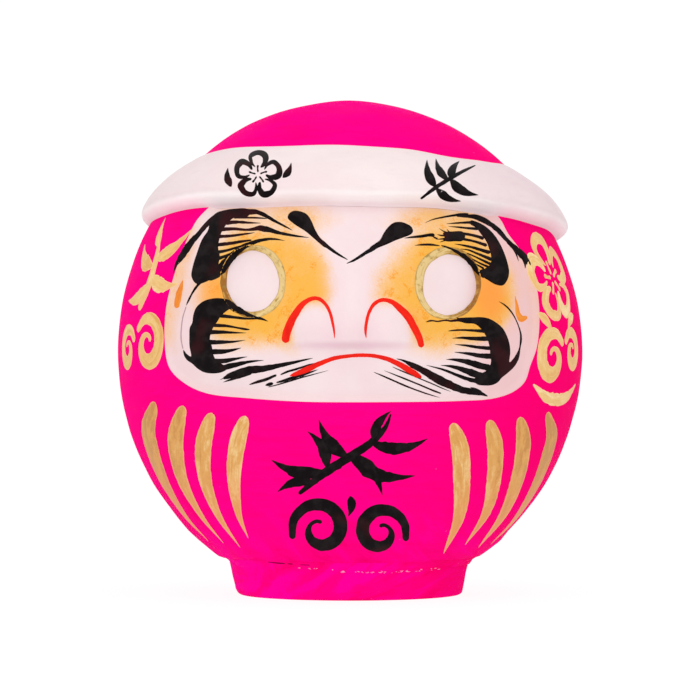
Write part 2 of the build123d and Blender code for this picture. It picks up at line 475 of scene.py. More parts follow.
def pink_paint(name, brushed=False):
    """Matte pink paint over paper: fine grain, soft brush marks, slight blotches, and painted shade that
    darkens and reddens it towards +X.
    """
    s = Shader(name, Specular_IOR_Level=0.02, IOR=1.12)
    blotch = s.noise(16, detail=4)
    colour = s.blend(s.span(blotch, 0.35, 0.68), (0.94, 0.0004, 0.203), (0.97, 0.0006, 0.232))
    split = s.add("ShaderNodeSeparateXYZ")
    s.link(s.place, split.inputs[0])
    # Painted shade: darker, redder pink towards +X, the side turned from the key light, made uneven by the
    # blotches.
    painted_side_shade = s.math("ADD", s.span(split.outputs[0], 0.0, 0.125),
                  s.span(blotch, 0.3, 0.7, -0.1, 0.1), clamp=True)
    colour = s.blend(painted_side_shade, colour, (0.90, 0.0005, 0.135))
    strokes = s.noise(60, detail=3, stretch=(1, 1, 7) if not brushed else (1.5, 1.5, 3), distortion=0.6)
    colour = s.blend(s.span(strokes, 0.42, 0.72, 0, 0.45), colour, (0.88, 0.0003, 0.150))
    if brushed:
        turned = s.add("ShaderNodeVectorRotate", rotation_type="Y_AXIS")
        s.link(s.place, turned.inputs["Vector"])
        turned.inputs["Angle"].default_value = math.radians(32)
        sweeps = s.noise(26, detail=6, stretch=(1, 1, 3.6), place=turned.outputs["Vector"], distortion=1.2)
        colour = s.blend(s.span(sweeps, 0.46, 0.58, 0, 0.8), colour, (0.97, 0.0002, 0.32))
        colour = s.blend(s.span(sweeps, 0.44, 0.34, 0, 0.6), colour, (0.84, 0.0002, 0.115))
        # Painted shade: the foot's pink darkens and reddens towards +X.
        colour = s.blend(s.span(split.outputs[0], 0.018, 0.06, 0, 0.7), colour, (0.87, 0.0003, 0.120))
    else:
        turned = s.add("ShaderNodeVectorRotate", rotation_type="Y_AXIS")
        s.link(s.place, turned.inputs["Vector"])
        turned.inputs["Angle"].default_value = math.radians(-50)
        sweeps = s.noise(26, detail=4, stretch=(1, 1, 5), place=turned.outputs["Vector"], distortion=0.5)
        low = s.span(split.outputs[2], 0.070, 0.022)
        light = s.math("MULTIPLY", low, s.span(sweeps, 0.45, 0.66, 0, 0.55))
        colour = s.blend(light, colour, (0.95, 0.0002, 0.30))
        dark = s.math("MULTIPLY", low, s.span(sweeps, 0.44, 0.30, 0, 0.5))
        colour = s.blend(dark, colour, (0.80, 0.0002, 0.115))
    specks = s.noise(420, detail=1)
    colour = s.blend(s.span(specks, 0.80, 0.84, 0, 0.5), colour, (1.0, 0.10, 0.42))
    roughness = s.span(s.noise(45, detail=5), 0.3, 0.7, 0.50, 0.68)
    normal = s.bump(s.noise(900, detail=4, roughness=0.6), 0.06)
    normal = s.bump(strokes, 0.10 if not brushed else 0.35, under=normal)
    return s.finish(colour, roughness, normal)


def gofun(s, tint=(0.770, 0.612, 0.622)):
    """Colour of chalky white paint, faintly pink, with slight mottling."""
    mottle = s.noise(38, detail=5, roughness=0.6)
    colour = s.blend(s.span(mottle, 0.35, 0.7), tint, tuple(t * f for t, f in zip(tint, (1.03, 1.06, 1.055))))
    pores = s.noise(700, detail=2)
    return s.blend(s.span(pores, 0.70, 0.80, 0, 0.10), colour, tuple(t * 0.8 for t in tint))


def face_paint():
    """White face ground with sprayed orange round the eyes, painted violet-pink shade round the nose, and
    painted shade along the face's edges and under the band.
    """
    s = Shader("face_paint", Specular_IOR_Level=0.16)
    colour = gofun(s)
    spray = s.noise(1300, detail=2, roughness=0.8)
    cloud = s.noise(48, detail=4, roughness=0.6)
    smear = s.noise(170, detail=3, roughness=0.6, distortion=0.6)
    orange_edge = s.math("ADD", s.value_of("orange"), s.span(cloud, 0.3, 0.7, -0.14, 0.14))
    orange_edge = s.math("ADD", orange_edge, s.span(spray, 0.3, 0.7, -0.08, 0.08))
    orange_edge = s.math("MULTIPLY", orange_edge, s.span(s.value_of("orange"), 0.0, 0.10))
    peach = s.span(orange_edge, 0.0, 0.75)
    full = s.span(orange_edge, 0.40, 1.08)
    colour = s.blend(peach, colour, (0.80, 0.480, 0.225))
    colour = s.blend(full, colour, (0.80, 0.392, 0.050))
    deep = s.math("MULTIPLY", s.span(smear, 0.55, 0.62), s.span(spray, 0.44, 0.54), clamp=True)
    deep = s.math("MULTIPLY", deep, s.span(orange_edge, 0.35, 0.8))
    colour = s.blend(s.math("MULTIPLY", deep, 0.8), colour, (0.80, 0.29, 0.010))
    colour = s.blend(s.value_of("temple"), colour, (0.86, 0.29, 0.045))
    # Painted shade: violet-pink round the nose, and pinkish along the face's edges and under the band.
    colour = s.blend(s.value_of("painted_nose_shade"), colour, (0.72, 0.42, 0.54))
    colour = s.blend(s.value_of("painted_edge_shade"), colour, (0.76, 0.46, 0.47))
    roughness = s.span(s.noise(60, detail=4), 0.3, 0.7, 0.48, 0.66)
    normal = s.bump(s.noise(1000, detail=4, roughness=0.6), 0.05)
    normal = s.bump(s.noise(120, detail=3), 0.12, under=normal)
    return s.finish(colour, roughness, normal)


def white_paint(name):
    s = Shader(name, Specular_IOR_Level=0.16)
    colour = gofun(s, (0.785, 0.668, 0.662))
    stain = s.noise(11, detail=3)
    colour = s.blend(s.span(stain, 0.45, 0.75, 0, 0.45), colour, (0.74, 0.56, 0.60))
    streaks = s.noise(90, detail=3, stretch=(1, 1, 5), distortion=0.5)
    colour = s.blend(s.span(streaks, 0.5, 0.8, 0, 0.2), colour, (0.70, 0.55, 0.58))
    # Painted shade and light on the band: darker and violet towards its sides, lighter along its lower part,
    # and a pinkish shade at its lower edge.
    colour = s.blend(s.value_of("side_shade_lilac"), colour, (0.945, 0.905, 0.94), "MULTIPLY")
    colour = s.blend(s.value_of("painted_lower_light"), colour, (1.22, 1.35, 1.34), "MULTIPLY")
    colour = s.blend(s.value_of("crease_shade"), colour, (0.74, 0.47, 0.54))
    roughness = s.span(s.noise(50, detail=4), 0.3, 0.7, 0.5, 0.7)
    normal = s.bump(s.noise(850, detail=4, roughness=0.6), 0.06)
    normal = s.bump(streaks, 0.14, under=normal)
    return s.finish(colour, roughness, normal)


def brushed_paint(name, base, light, dark, tip=None, metallic=0.0, level=0.15, gloss=(0.35, 0.55)):
    """Opaque brush paint whose streaks run along each stroke, from the strokes' own coordinates."""
    s = Shader(name, Specular_IOR_Level=level, Metallic=metallic)
    along = s.value_of("brush", "Vector")
    hairs = s.noise(1.0, detail=3, stretch=(0.07, 1.1, 1.0), place=along)
    pools = s.noise(0.30, detail=4, stretch=(0.25, 1.0, 1.0), place=along, roughness=0.6, distortion=0.6)
    tone = s.math("ADD", s.value_of("tone"), s.span(pools, 0.3, 0.7, -0.32, 0.32))
    tone = s.math("ADD", tone, s.span(s.noise(620, detail=3), 0.3, 0.7, -0.08, 0.08), clamp=True)
    colour = s.blend(s.span(tone, 0.0, 0.5), dark, base)
    colour = s.blend(s.span(tone, 0.5, 1.0), colour, light)
    colour = s.blend(s.span(hairs, 0.48, 0.72, 0, 0.4), colour, dark)
    if tip:
        colour = s.blend(s.span(s.value_of("course"), 0.3, 1.0, 0, 0.75), colour, tip)
        colour = s.blend(s.span(s.value_of("rim"), 0.75, 0.0, 0, 0.45), colour, light)
    roughness = s.span(pools, 0.3, 0.7, *gloss)
    normal = s.bump(hairs, 0.05)
    normal = s.bump(s.noise(1100, detail=3), 0.04, under=normal)
    return s.finish(colour, roughness, normal)


def ink_paint():
    s = Shader("ink_paint", Specular_IOR_Level=0.03)
    along = s.value_of("brush", "Vector")
    hairs = s.noise(1.0, detail=3, stretch=(0.12, 2.4, 1.0), place=along)
    pools = s.noise(0.17, detail=3, place=along)
    colour = s.blend(s.span(pools, 0.42, 0.66), (0.0055, 0.0038, 0.0042), (0.013, 0.0095, 0.0100))
    maroon = s.math("MULTIPLY", s.span(s.noise(42, detail=2), 0.52, 0.68), 0.7)
    colour = s.blend(maroon, colour, (0.035, 0.006, 0.008))
    roughness = s.span(pools, 0.3, 0.7, 0.32, 0.52)
    normal = s.bump(hairs, 0.05)
    normal = s.bump(s.noise(900, detail=3), 0.03, under=normal)
    return s.finish(colour, roughness, normal)


def socket_gold():
    """Gold brushed round the eye sockets, with painted shade: dark towards the temples, pale towards the
    nose.
    """
    s = Shader("socket_gold", Specular_IOR_Level=0.25, Metallic=0.15)
    along = s.value_of("brush", "Vector")
    hairs = s.noise(1.0, detail=4, stretch=(0.16, 1.3, 1.0), place=along)
    worn = s.noise(0.35, detail=4, place=along)
    shade = s.math("ADD", s.value_of("shade"), s.span(hairs, 0.3, 0.7, -0.35, 0.35))
    shade = s.math("ADD", shade, s.span(worn, 0.3, 0.7, -0.2, 0.2), clamp=True)
    colour = s.blend(s.span(shade, 0.0, 0.5), (0.76, 0.56, 0.24), (0.56, 0.34, 0.085))
    colour = s.blend(s.span(shade, 0.5, 1.0), colour, (0.32, 0.125, 0.014))
    colour = s.blend(s.span(worn, 0.52, 0.68, 0, 0.6), colour, (0.31, 0.215, 0.052))
    colour = s.blend(s.value_of("line"), colour, (0.26, 0.13, 0.022))
    roughness = s.span(hairs, 0.3, 0.7, 0.38, 0.6)
    normal = s.bump(hairs, 0.08)
    return s.finish(colour, roughness, normal)


def raw_material(name, base, dark, scale, depth, stretch=None):
    """Plain paper, card, clay or glue: mottled, fibrous and dull."""
    s = Shader(name, Specular_IOR_Level=0.2)
    fibres = s.noise(scale, detail=6, roughness=0.65, stretch=stretch)
    colour = s.blend(s.span(fibres, 0.3, 0.7), base, dark)
    colour = s.blend(s.span(s.noise(25, detail=3), 0.4, 0.7, 0, 0.4), colour, dark)
    roughness = s.span(fibres, 0.3, 0.7, 0.75, 0.92)
    return s.finish(colour, roughness, s.bump(fibres, depth))


pink = pink_paint("pink_paint")
pink_foot = pink_paint("pink_foot_paint", brushed=True)
face_white = face_paint()
band_white = white_paint("band_paint")
ink = ink_paint()
red = brushed_paint("red_paint", (0.78, 0.012, 0.003), (0.85, 0.022, 0.005), (0.66, 0.006, 0.002), level=0.10)
gold = brushed_paint("gold_paint", (0.68, 0.34, 0.095), (0.80, 0.53, 0.23), (0.53, 0.235, 0.058),
                     tip=(0.80, 0.265, 0.085), metallic=0.12)
pale_gold = brushed_paint("pale_gold_paint", (0.79, 0.50, 0.185), (0.88, 0.66, 0.35), (0.68, 0.35, 0.085),
                          tip=(0.76, 0.42, 0.15), metallic=0.10)
orange = brushed_paint("orange_paint", (0.78, 0.22, 0.018), (0.82, 0.30, 0.04), (0.55, 0.13, 0.012))
wash = brushed_paint("wash_paint", (0.42, 0.27, 0.31), (0.5, 0.34, 0.38), (0.3, 0.18, 0.2))
fleck = brushed_paint("fleck_paint", (0.92, 0.26, 0.48), (0.95, 0.42, 0.62), (0.90, 0.12, 0.36), level=0.05)
nick = brushed_paint("nick_paint", (0.20, 0.002, 0.035), (0.32, 0.003, 0.06), (0.10, 0.001, 0.015), level=0.0)
eye_gold = socket_gold()

# ---- body shells -------------------------------------------------------------------------------
CELL = 1.55  # size of the shells' mesh
WALL = 3.0
BODY_REACH = 112  # about how far the surface lies from CENTRE
BODY_END = math.radians(154.5)  # angle from straight up where the underside ends, inside the foot
UNDER_FACE = 0.9  # how far the front shell lies below the coat of the face
UNDER_SOCKET = 0.8  # how much further below it lies round the eye sockets


def half_shell(name, towards, node):
    """A closed half of the body: its painted outside, the inside, and the edges between them."""
    rows = int(BODY_END * BODY_REACH / CELL)
    columns = int(math.pi * BODY_REACH / CELL)
    angle, turn = np.meshgrid(np.linspace(0, BODY_END, rows), np.linspace(-math.pi / 2, math.pi / 2, columns),
                              indexing="ij")
    angle, turn = angle.ravel(), turn.ravel()
    directions = np.column_stack([np.sin(angle) * np.sin(turn), towards * np.sin(angle) * np.cos(turn),
                                  np.cos(angle)])
    directions[np.isclose(np.abs(turn), math.pi / 2), 1] = 0
    outside, normals = body_skin(CENTRE + directions * 100)
    heights = HANDMADE_HEIGHT * handmade(outside)
    if towards < 0:
        template = to_template(outside)
        under = ramp(depth_inside(template, face_loop), 0, FACE_BEVEL)
        heights += relief(template) - UNDER_FACE * under - UNDER_SOCKET * near_socket(template)
    skin = outside + normals * heights[:, None]
    skin[:, 1] = np.where(directions[:, 1] == 0, 0, skin[:, 1])
    lining = outside + normals * (np.minimum(heights, 0) - WALL)[:, None]
    lining[:, 1] = np.where(directions[:, 1] == 0, 0, lining[:, 1])
    start = len(skin)
    faces = grid_faces(rows, columns, 0, towards > 0) + grid_faces(rows, columns, start, towards < 0)
    rim = grid_rim(rows, columns)
    for a, b in zip(rim, rim[1:] + rim[:1]):
        faces.append((a, b, start + b, start + a))
    piece = make_piece(name, np.vstack([skin, lining]), faces, pink, [node])
    merge_doubles(piece)
    return piece


body_front = half_shell("body_front", -1, "front_shell")
body_rear = half_shell("body_rear", 1, "rear_shell")


# ---- face ground -------------------------------------------------------------------------------
def spray_masks(template):
    """How strongly each sprayed colour, and each painted shade, covers points of the face, 0 to 1."""
    u, v = template.T

    def cloud(centre, half_sizes, soft):
        reach = np.hypot((u - centre[0]) / half_sizes[0], (v - centre[1]) / half_sizes[1])
        return ramp(reach, 1 + soft, 1 - soft)

    left = cloud((-42, 147.5), (33, 32.5), 0.34) * ramp(u, -1, -15)
    right = cloud((48.5, 147.5), (34.5, 32.5), 0.32) * ramp(u, 2, 13) * (0.84 + 0.16 * ramp(u, 24, 36))
    left = np.maximum(left, 0.55 * cloud((-38, 184), (26, 9), 0.6))
    right = np.maximum(right, 0.6 * cloud((44, 183), (24, 8.5), 0.6))
    sprayed = np.maximum(left, right)
    nostrils = np.maximum(cloud((-17, 128.5), (10.5, 14), 0.38), cloud((17.5, 128), (11.5, 14), 0.35))
    sprayed *= (1 - 0.97 * nostrils) * ramp(v, 108, 131)
    inset = depth_inside(template, face_loop)
    sides = ramp(inset, 11, 1) * ramp(np.abs(u), 66, 80) * ramp(v, 112, 128)
    sprayed = np.maximum(sprayed, 0.47 * sides)
    for socket in SOCKETS:
        sprayed = np.where(socket_share(template, socket) > 0.6, 0, sprayed)
    temple = 0.85 * cloud((69, 146), (8, 13), 0.6) + 0.55 * cloud((-68, 147), (7, 9), 0.6)
    temple += 0.5 * cloud((28, 132), (6, 7), 0.7)
    # Painted shade round the nose: under its ledge, along the sides of its bridge and across its wings.
    ledge = np.exp(-((v - 121.4 + 0.0006 * u * u) / 1.7) ** 2) * ramp(np.abs(u - 1), 36, 18)
    bridge = 0.10 * np.exp(-((np.abs(u - 0.5) - 8) / 6) ** 2) * ramp(v, 170, 150)
    painted_nose_shade = 0.34 * ledge + bridge + 0.12 * np.exp(-((v - 127) / 6) ** 2) * ramp(np.abs(u), 34, 10)
    # Painted shade along the top of the face, under the band's lower edge.
    crease_shade = 0.12 * ramp(v, 184.5, 188.5)
    # Painted shade along the face's edges: strongest on the +X side, weaker on the -X side and along the
    # bottom, and little where the orange is sprayed.
    rim = np.maximum(0.74 * ramp(u, 56, 70), 0.27 * ramp(u, -64, -78))
    rim = np.maximum(rim, ramp(inset, 7, 0.5) * ramp(v, 112, 104) * (0.24 + 0.20 * ramp(np.abs(u), 20, 60)))
    return {"orange": sprayed, "temple": np.clip(temple, 0, 1) * sprayed, "painted_nose_shade": np.clip(painted_nose_shade, 0, 1),
            "painted_edge_shade": np.maximum(crease_shade, rim * ramp(sprayed, 0.8, 0.4))}


def face_ground():
    """The coat of white paint that covers the face, down into the eye sockets."""
    inner = [ellipse(socket[k], socket[k + 1]) for socket in SOCKETS for k in (0, 2)]
    spots, triangles, _ = fill(face_loop, 0.95, inner)
    base, normals = on_body(spots)
    lift = relief(spots) + HANDMADE_HEIGHT * handmade(base)
    edge = ramp(depth_inside(spots, face_loop), 0, 1.2)
    places, faces = coat(spots, triangles, base + normals * (lift + 0.05 + 0.05 * edge)[:, None],
                         base + normals * (lift - 0.3)[:, None])
    masks = {key: np.tile(value, 2) for key, value in spray_masks(spots).items()}
    return make_piece("face_ground", places, faces, face_white, values=masks)


face = face_ground()

# ---- headband ----------------------------------------------------------------------------------
# The band's section, as (share of the way from its upper to its lower edge, height above the body).
BAND_SECTION = [(-0.025, -0.8), (0, 0.3), (0.05, 1.2), (0.13, 2.3), (0.26, 4.0), (0.41, 5.9), (0.54, 7.3),
                (0.66, 8.2), (0.76, 8.6), (0.84, 8.7), (0.90, 8.5), (0.94, 7.8), (0.968, 6.5), (0.986, 4.8),
                (0.998, 2.9), (1.006, 1.4), (1.015, 0.2), (1.03, -0.8)]
# Round the body from the back past -X, the front and +X, as (turn, upper edge, lower edge). The edges are in
# degrees from straight up.
BAND_EDGES = [(-180, 43.9, 67.0), (-135, 43.0, 66.6), (-90, 42.9, 65.0), (-62, 42.8, 63.2), (-40, 43.2, 63.0),
              (-20, 43.9, 63.4), (0, 44.3, 63.7), (20, 45.6, 64.1), (35, 47.3, 64.8), (55, 47.3, 66.0),
              (75, 46.6, 67.4), (90, 46.4, 69.0), (135, 44.8, 68.2), (180, 43.9, 67.0)]
BAND_COLUMNS = 460
BAND_WIDTH = 42  # about the distance between its edges


def headband():
    azimuths, upper, lower = np.array(BAND_EDGES).T
    section = smooth([(share * BAND_WIDTH, height) for share, height in BAND_SECTION], 0.8) / (BAND_WIDTH, 1)
    under = [(section[-1, 0] + (section[0, 0] - section[-1, 0]) * t, -1.6) for t in (0.25, 0.5, 0.75)]
    section = np.vstack([section, under])
    wobble = waves(11, 7, 120.0, 30.0)
    puckers = waves(12, 6, 26.0, 9.0)
    turns = np.linspace(-180, 180, BAND_COLUMNS, endpoint=False)
    # The edges as smooth curves through the given points.
    top_edge = np.interp(turns, *smooth(np.column_stack([azimuths, upper]), 2.0)[:, :2].T)
    low_edge = np.interp(turns, *smooth(np.column_stack([azimuths, lower]), 2.0)[:, :2].T)
    rows, crease_shades, painted_lower_light, side_shade_lilac = [], [], [], []
    for turn, top, low in zip(turns, top_edge, low_edge):
        level = np.array([math.sin(math.radians(turn)), -math.cos(math.radians(turn)), 0.0])
        around = (level * 100)[None, :]
        drift = 0.25 * wobble(around)[0]
        swell = 1 + 0.05 * wobble(around + 400)[0] - 0.15 * math.exp(-((turn + 88) / 32) ** 2)
        angle = np.radians(top + drift + (low - top) * section[:, 0])
        height = np.where(section[:, 1] > 0, section[:, 1] * swell, section[:, 1])
        directions = np.cos(angle)[:, None] * np.array([0, 0, 1.0]) + np.sin(angle)[:, None] * level
        base, normals = body_skin(CENTRE + directions * 100)
        fine = 0.10 * puckers(base) * ramp(section[:, 1], 0, 4)
        rows.append(base + normals * (height + fine)[:, None])
        # Painted shade: a pinkish tint along the band's lower edge, where it meets the body.
        crease_shades.append(0.22 * ramp(section[:, 0], 0.95, 1.01))
        # Painted light: the band's lower part is lightened where its rounded underside turns from the light,
        # most near turn -45.
        strength = 0.62 + 0.38 * math.exp(-((turn + 45) / 26) ** 2)
        painted_lower_light.append(strength * ramp(section[:, 0], 0.925, 0.972) * ramp(section[:, 0], 1.014, 0.996))
        # Painted shade: darker and more violet towards the band's sides, less so on the -X side.
        side_shade_lilac.append(np.full(len(section), ramp(abs(turn), 12, 50) * (0.65 if turn < 0 else 1.0)))
    count = len(section)
    faces = []
    for i in range(len(rows)):
        for j in range(count):
            following, beside = (i + 1) % len(rows), (j + 1) % count
            faces.append((i * count + j, i * count + beside,
                          following * count + beside, following * count + j))
    piece = make_piece("headband_shell", np.vstack(rows), faces, band_white, ["headband"],
                       values={"crease_shade": np.concatenate(crease_shades), "painted_lower_light": np.concatenate(painted_lower_light),
                               "side_shade_lilac": np.concatenate(side_shade_lilac)})
    merge_doubles(piece)
    return piece


band = headband()

# ---- foot --------------------------------------------------------------------------------------
def lathe(name, section, material, node, columns=360, uneven=None):
    """A closed ring turned about Z from a closed section of (radius, height), with an uneven surface."""
    places, faces = [], []
    count = len(section)
    for i in range(columns):
        turn = 2 * math.pi * i / columns
        radius, height = section.T
        ring = np.column_stack([radius * math.sin(turn), -radius * math.cos(turn), height])
        if uneven:
            ring = uneven(ring, turn)
        places.append(ring)
        for j in range(count):
            following, beside = (i + 1) % columns, (j + 1) % count
            faces.append((i * count + j, following * count + j,
                          following * count + beside, i * count + beside))
    piece = make_piece(name, np.vstack(places), faces, material, [node])
    merge_doubles(piece)
    return piece


FOOT_BORE = 50.5
foot_waves = waves(31, 8, 60.0, 8.0)


def foot_surface(ring, turn):
    out = ring[:, :2] / np.linalg.norm(ring[:, :2], axis=1, keepdims=True)
    outer = ramp(np.linalg.norm(ring[:, :2], axis=1), 52, 54) * ramp(ring[:, 2], 0.3, 3)
    ring = ring.copy()
    ring[:, :2] += out * (0.22 * foot_waves(ring) * outer)[:, None]
    ring[:, 0] -= 0.45 * outer
    return ring


outer_wall = smooth([(52.2, 0), (53.3, 0.15), (54.4, 0.9), (55, 2.4), (55.6, 5.2), (56.6, 9.6), (57.6, 14.2),
                     (58.4, FOOT_TOP)], 0.6)
foot_section = np.vstack([outer_wall, [(FOOT_BORE, FOOT_TOP), (FOOT_BORE, 9.0), (FOOT_BORE, 0)]])
foot = lathe("foot", foot_section, pink_foot, "foot_ring", uneven=foot_surface)

glue_waves = waves(33, 9, 40.0, 5.0)


def glue_surface(ring, turn):
    """The glue line sags at the front and is lumpy all round."""
    sag = 1.0 + 0.9 * (0.5 + 0.5 * math.cos(turn)) ** 3
    lump = 0.30 * glue_waves(ring + 200)
    ring = ring.copy()
    ring[:, 2] = FOOT_TOP + (ring[:, 2] - FOOT_TOP) * (sag + 0.25 * glue_waves(ring)[0])
    out = ring[:, :2] / np.linalg.norm(ring[:, :2], axis=1, keepdims=True)
    ring[:, :2] += out * (lump * ramp(FOOT_TOP - ring[:, 2], 2.2, 0.6))[:, None]
    return ring


glue_section = smooth([(57.4, 15.6), (58.2, 15.9), (59.0, 16.6), (60.0, 17.4), (61.4, 18.1), (60.4, 18.6),
                       (58.0, 18.4), (56.8, 16.8)], 0.4, closed=True)
glue_line = lathe("glue_line", glue_section, pink_foot, "glue_bead", uneven=glue_surface)

# ---- brushwork ---------------------------------------------------------------------------------
STROKE_STEP = 0.55
STROKE_FILL = 1.1
BRUSH_SUNK = 0.15  # how far the underside of a stroke is sunk in what it lies on


def drape(template, lifts, turn):
    """Lays template points on what is seen there, lifted off it, with the camera turned round the doll."""
    places = []
    rotation = Matrix.Rotation(math.radians(turn), 3, "Z")
    start = rotation @ Vector(VIEW_POINT)
    for (u, v), lift in zip(template, lifts):
        sight = rotation @ Vector((u, 0, v - TEMPLATE_DROP)) - start
        place, normal, _, _ = canvas.ray_cast(start, sight.normalized())
        if place is None:
            raise ValueError(f"brushwork at {u:.1f}, {v:.1f} misses the doll")
        if normal.dot(place - start) > 0:
            normal = -normal
        places.append(place + normal * lift)
    return np.array(places).reshape(-1, 3)


class Stroke:
    """One pull of the brush: a closed outline, and coordinates along and across it for the streaks."""

    def __init__(self, outline, line):
        self.outline = np.array(outline, float)
        self.line = np.array(line, float)[:, :2]

    def brush(self, spots):
        gaps = np.linalg.norm(np.diff(self.line, axis=0), axis=1)
        lengths = np.concatenate([[0], np.cumsum(gaps)])
        heading = np.gradient(self.line, axis=0)
        heading /= np.linalg.norm(heading, axis=1, keepdims=True) + 1e-9
        away = spots[:, None, :] - self.line[None, :, :]
        nearest = np.argmin((away**2).sum(axis=2), axis=1)
        offset = away[np.arange(len(spots)), nearest]
        along = lengths[nearest] + (offset * heading[nearest]).sum(axis=1)
        across = offset[:, 0] * heading[nearest, 1] - offset[:, 1] * heading[nearest, 0]
        return along, across


def unevenness(lengths, wavelength=1.7):
    """A smooth random run along a stroke, about -1 to 1."""
    count = int(lengths[-1] / wavelength) + 3
    knots = rng.normal(size=count)
    at = lengths / wavelength
    before = at.astype(int)
    return knots[before] + (knots[before + 1] - knots[before]) * ramp(at - before, 0, 1)


def ribbon(*points, rough=0.05):
    """A stroke along (u, v, width) points, round at blunt ends, with a slightly uneven edge."""
    line = smooth(points, STROKE_STEP)
    half = np.maximum(line[:, 2], 0.12) / 2
    lengths = np.concatenate([[0], np.cumsum(np.linalg.norm(np.diff(line[:, :2], axis=0), axis=1))])
    for distance, end in ((lengths, half[0]), (lengths[-1] - lengths, half[-1])):
        inside = distance < end
        half = np.where(inside, half * np.sqrt(np.clip(1 - (1 - distance / end) ** 2, 0.02, 1)), half)
    heading = np.gradient(line[:, :2], axis=0)
    heading /= np.linalg.norm(heading, axis=1, keepdims=True)
    sideways = np.column_stack([-heading[:, 1], heading[:, 0]])
    sides = []
    for sign in (1, -1):
        reach = half * (1 + rough * unevenness(lengths))
        reach += 0.03 * np.minimum(half, 1) * unevenness(lengths, 0.8)
        sides.append(line[:, :2] + sign * sideways * reach[:, None])
    return Stroke(np.vstack([sides[0], sides[1][::-1]]), line)


def patch(*points, line=None):
    """A stroke with the given outline."""
    outline = smooth(points, STROKE_STEP, closed=True)
    if line is None:
        middle = outline.mean(axis=0)
        spread = np.linalg.svd(outline - middle, full_matrices=False)[2][0]
        line = [middle + spread * reach for reach in np.linspace(-30, 30, 40)]
    return Stroke(outline, smooth(line, 1.0) if len(line) < 12 else line)


def paint(name, strokes, material, thickness, turn=0, tones=None, spacing=STROKE_FILL):
    """Lays strokes on the doll as thin coats with rounded rims, all in one piece."""
    places, faces, start = [], [], 0
    values = {"brush": [], "rim": [], "course": [], "tone": []}
    for order, stroke in enumerate(strokes):
        spots, triangles, rim = fill(stroke.outline, spacing, spine=stroke.line)
        depth = np.where(rim, 0, depth_inside(spots, stroke.outline))
        rise = 0.45 + 0.55 * np.sqrt(np.clip(depth / 0.35, 0, 1))
        top = drape(spots, (thickness + 0.004 * (order % 9)) * rise, turn)
        under = drape(spots, np.full(len(spots), -BRUSH_SUNK), turn)
        new_places, new_faces = coat(spots, triangles, top, under)
        faces += [[start + i for i in face] for face in new_faces]
        along, across = stroke.brush(spots)
        tone = tones[order] if tones else rng.uniform(0.25, 0.75)
        apart = np.full(len(spots), 7.0 * order)  # keeps the streaks of neighbouring strokes different
        values["brush"].append(np.tile(np.column_stack([along, across, apart]), (2, 1)))
        values["rim"].append(np.tile(depth, 2))
        values["course"].append(np.tile(along / max(along.max(), 1), 2))
        values["tone"].append(np.full(2 * len(spots), tone))
        places.append(new_places)
        start += len(new_places)
    values = {key: np.concatenate(numbers) for key, numbers in values.items()}
    return make_piece(name, np.vstack(places), faces, material, values=values)


INK, RED, GOLD, WORN = 0.10, 0.14, 0.08, 0.07  # thickness of each paint, and of the worn places
BRUSH_HAIRS = 0.75  # finer spacing, for strokes with thin ends side by side

# Brow and beard on the doll's right, at -X.
brow_right_side = [
    patch((-75, 151.5), (-77.4, 155), (-76.8, 160), (-74.8, 166.5), (-72.4, 173), (-69.3, 178),
          (-68.4, 182.6), (-65.5, 186.1), (-61, 187.6), (-56, 188.3), (-50.5, 188.2), (-48.8, 186.2),
          (-50.5, 184.2), (-56.5, 183.9), (-60, 181), (-62.4, 177.5), (-63.8, 173.5), (-64.4, 169),
          (-63.6, 164.8), (-64.2, 161), (-63.4, 158.4), (-66.5, 154.9), (-70.5, 152.4),
          line=[(-73, 150), (-71, 160), (-67, 171), (-62, 181), (-54, 186)]),
    ribbon((-52, 186.5, 3.6), (-46, 186.7, 2.4), (-42, 185.2, 2.0), (-36, 181.8, 1.3), (-31, 179.2, 0.8),
           (-28, 177.6, 0.1)),
    ribbon((-57, 184, 1.4), (-50, 183.9, 0.9), (-44, 183.7, 0.8), (-40.5, 183.4, 0.3)),
    ribbon((-61, 181.2, 2.0), (-55, 181.7, 1.6), (-49, 181.4, 1.0), (-43.6, 181.2, 0.2)),
    ribbon((-64, 178, 2.0), (-57, 178.4, 1.5), (-50, 177.9, 1.3), (-46.6, 178.4, 1.8), (-44, 178.7, 2.8),
           (-40.5, 178.2, 2.6), (-36, 176.8, 1.8), (-30, 175.5, 1.3), (-24, 174.6, 0.8), (-20, 174.1, 0.1)),
    ribbon((-65, 174.6, 1.8), (-58, 175, 1.3), (-51, 175.9, 0.9), (-46.4, 176.6, 0.1)),
    ribbon((-65.5, 170.5, 1.8), (-59, 171.2, 1.6), (-53, 172.2, 1.3), (-48, 172.9, 0.8)),
    ribbon((-65.5, 166.8, 1.8), (-60, 167.9, 1.3), (-55, 169.4, 1.0), (-51, 170.6, 0.8)),
    ribbon((-65, 163.6, 1.8), (-60.5, 165.2, 1.3), (-56.5, 167, 0.9)),
    ribbon((-70, 154, 4), (-65, 157.2, 5.0), (-61, 161.0, 4.6), (-57.5, 165, 3.8), (-53.5, 168.6, 3.0),
           (-48.5, 171.2, 2.2), (-43, 172.9, 1.6), (-37, 173.4, 1.0), (-31.8, 172.6, 0.1)),
    ribbon((-86.3, 156.6, 0.1), (-84.9, 160.8, 1.4), (-83, 163.8, 2.6), (-81.5, 166.0, 3.0),
           (-79.9, 168.6, 3.4), (-77.8, 171.4, 3.2), (-75.6, 174, 2.6), (-72.8, 177.3, 2.3),
           (-70, 180.6, 2.3), (-67, 183.2, 2.6), (-64, 185, 2.6)),
    ribbon((-72.5, 153, 1.6), (-75, 150, 1.2), (-77.2, 146.6, 0.9), (-79, 143, 0.8), (-80, 140.8, 0.1)),
]
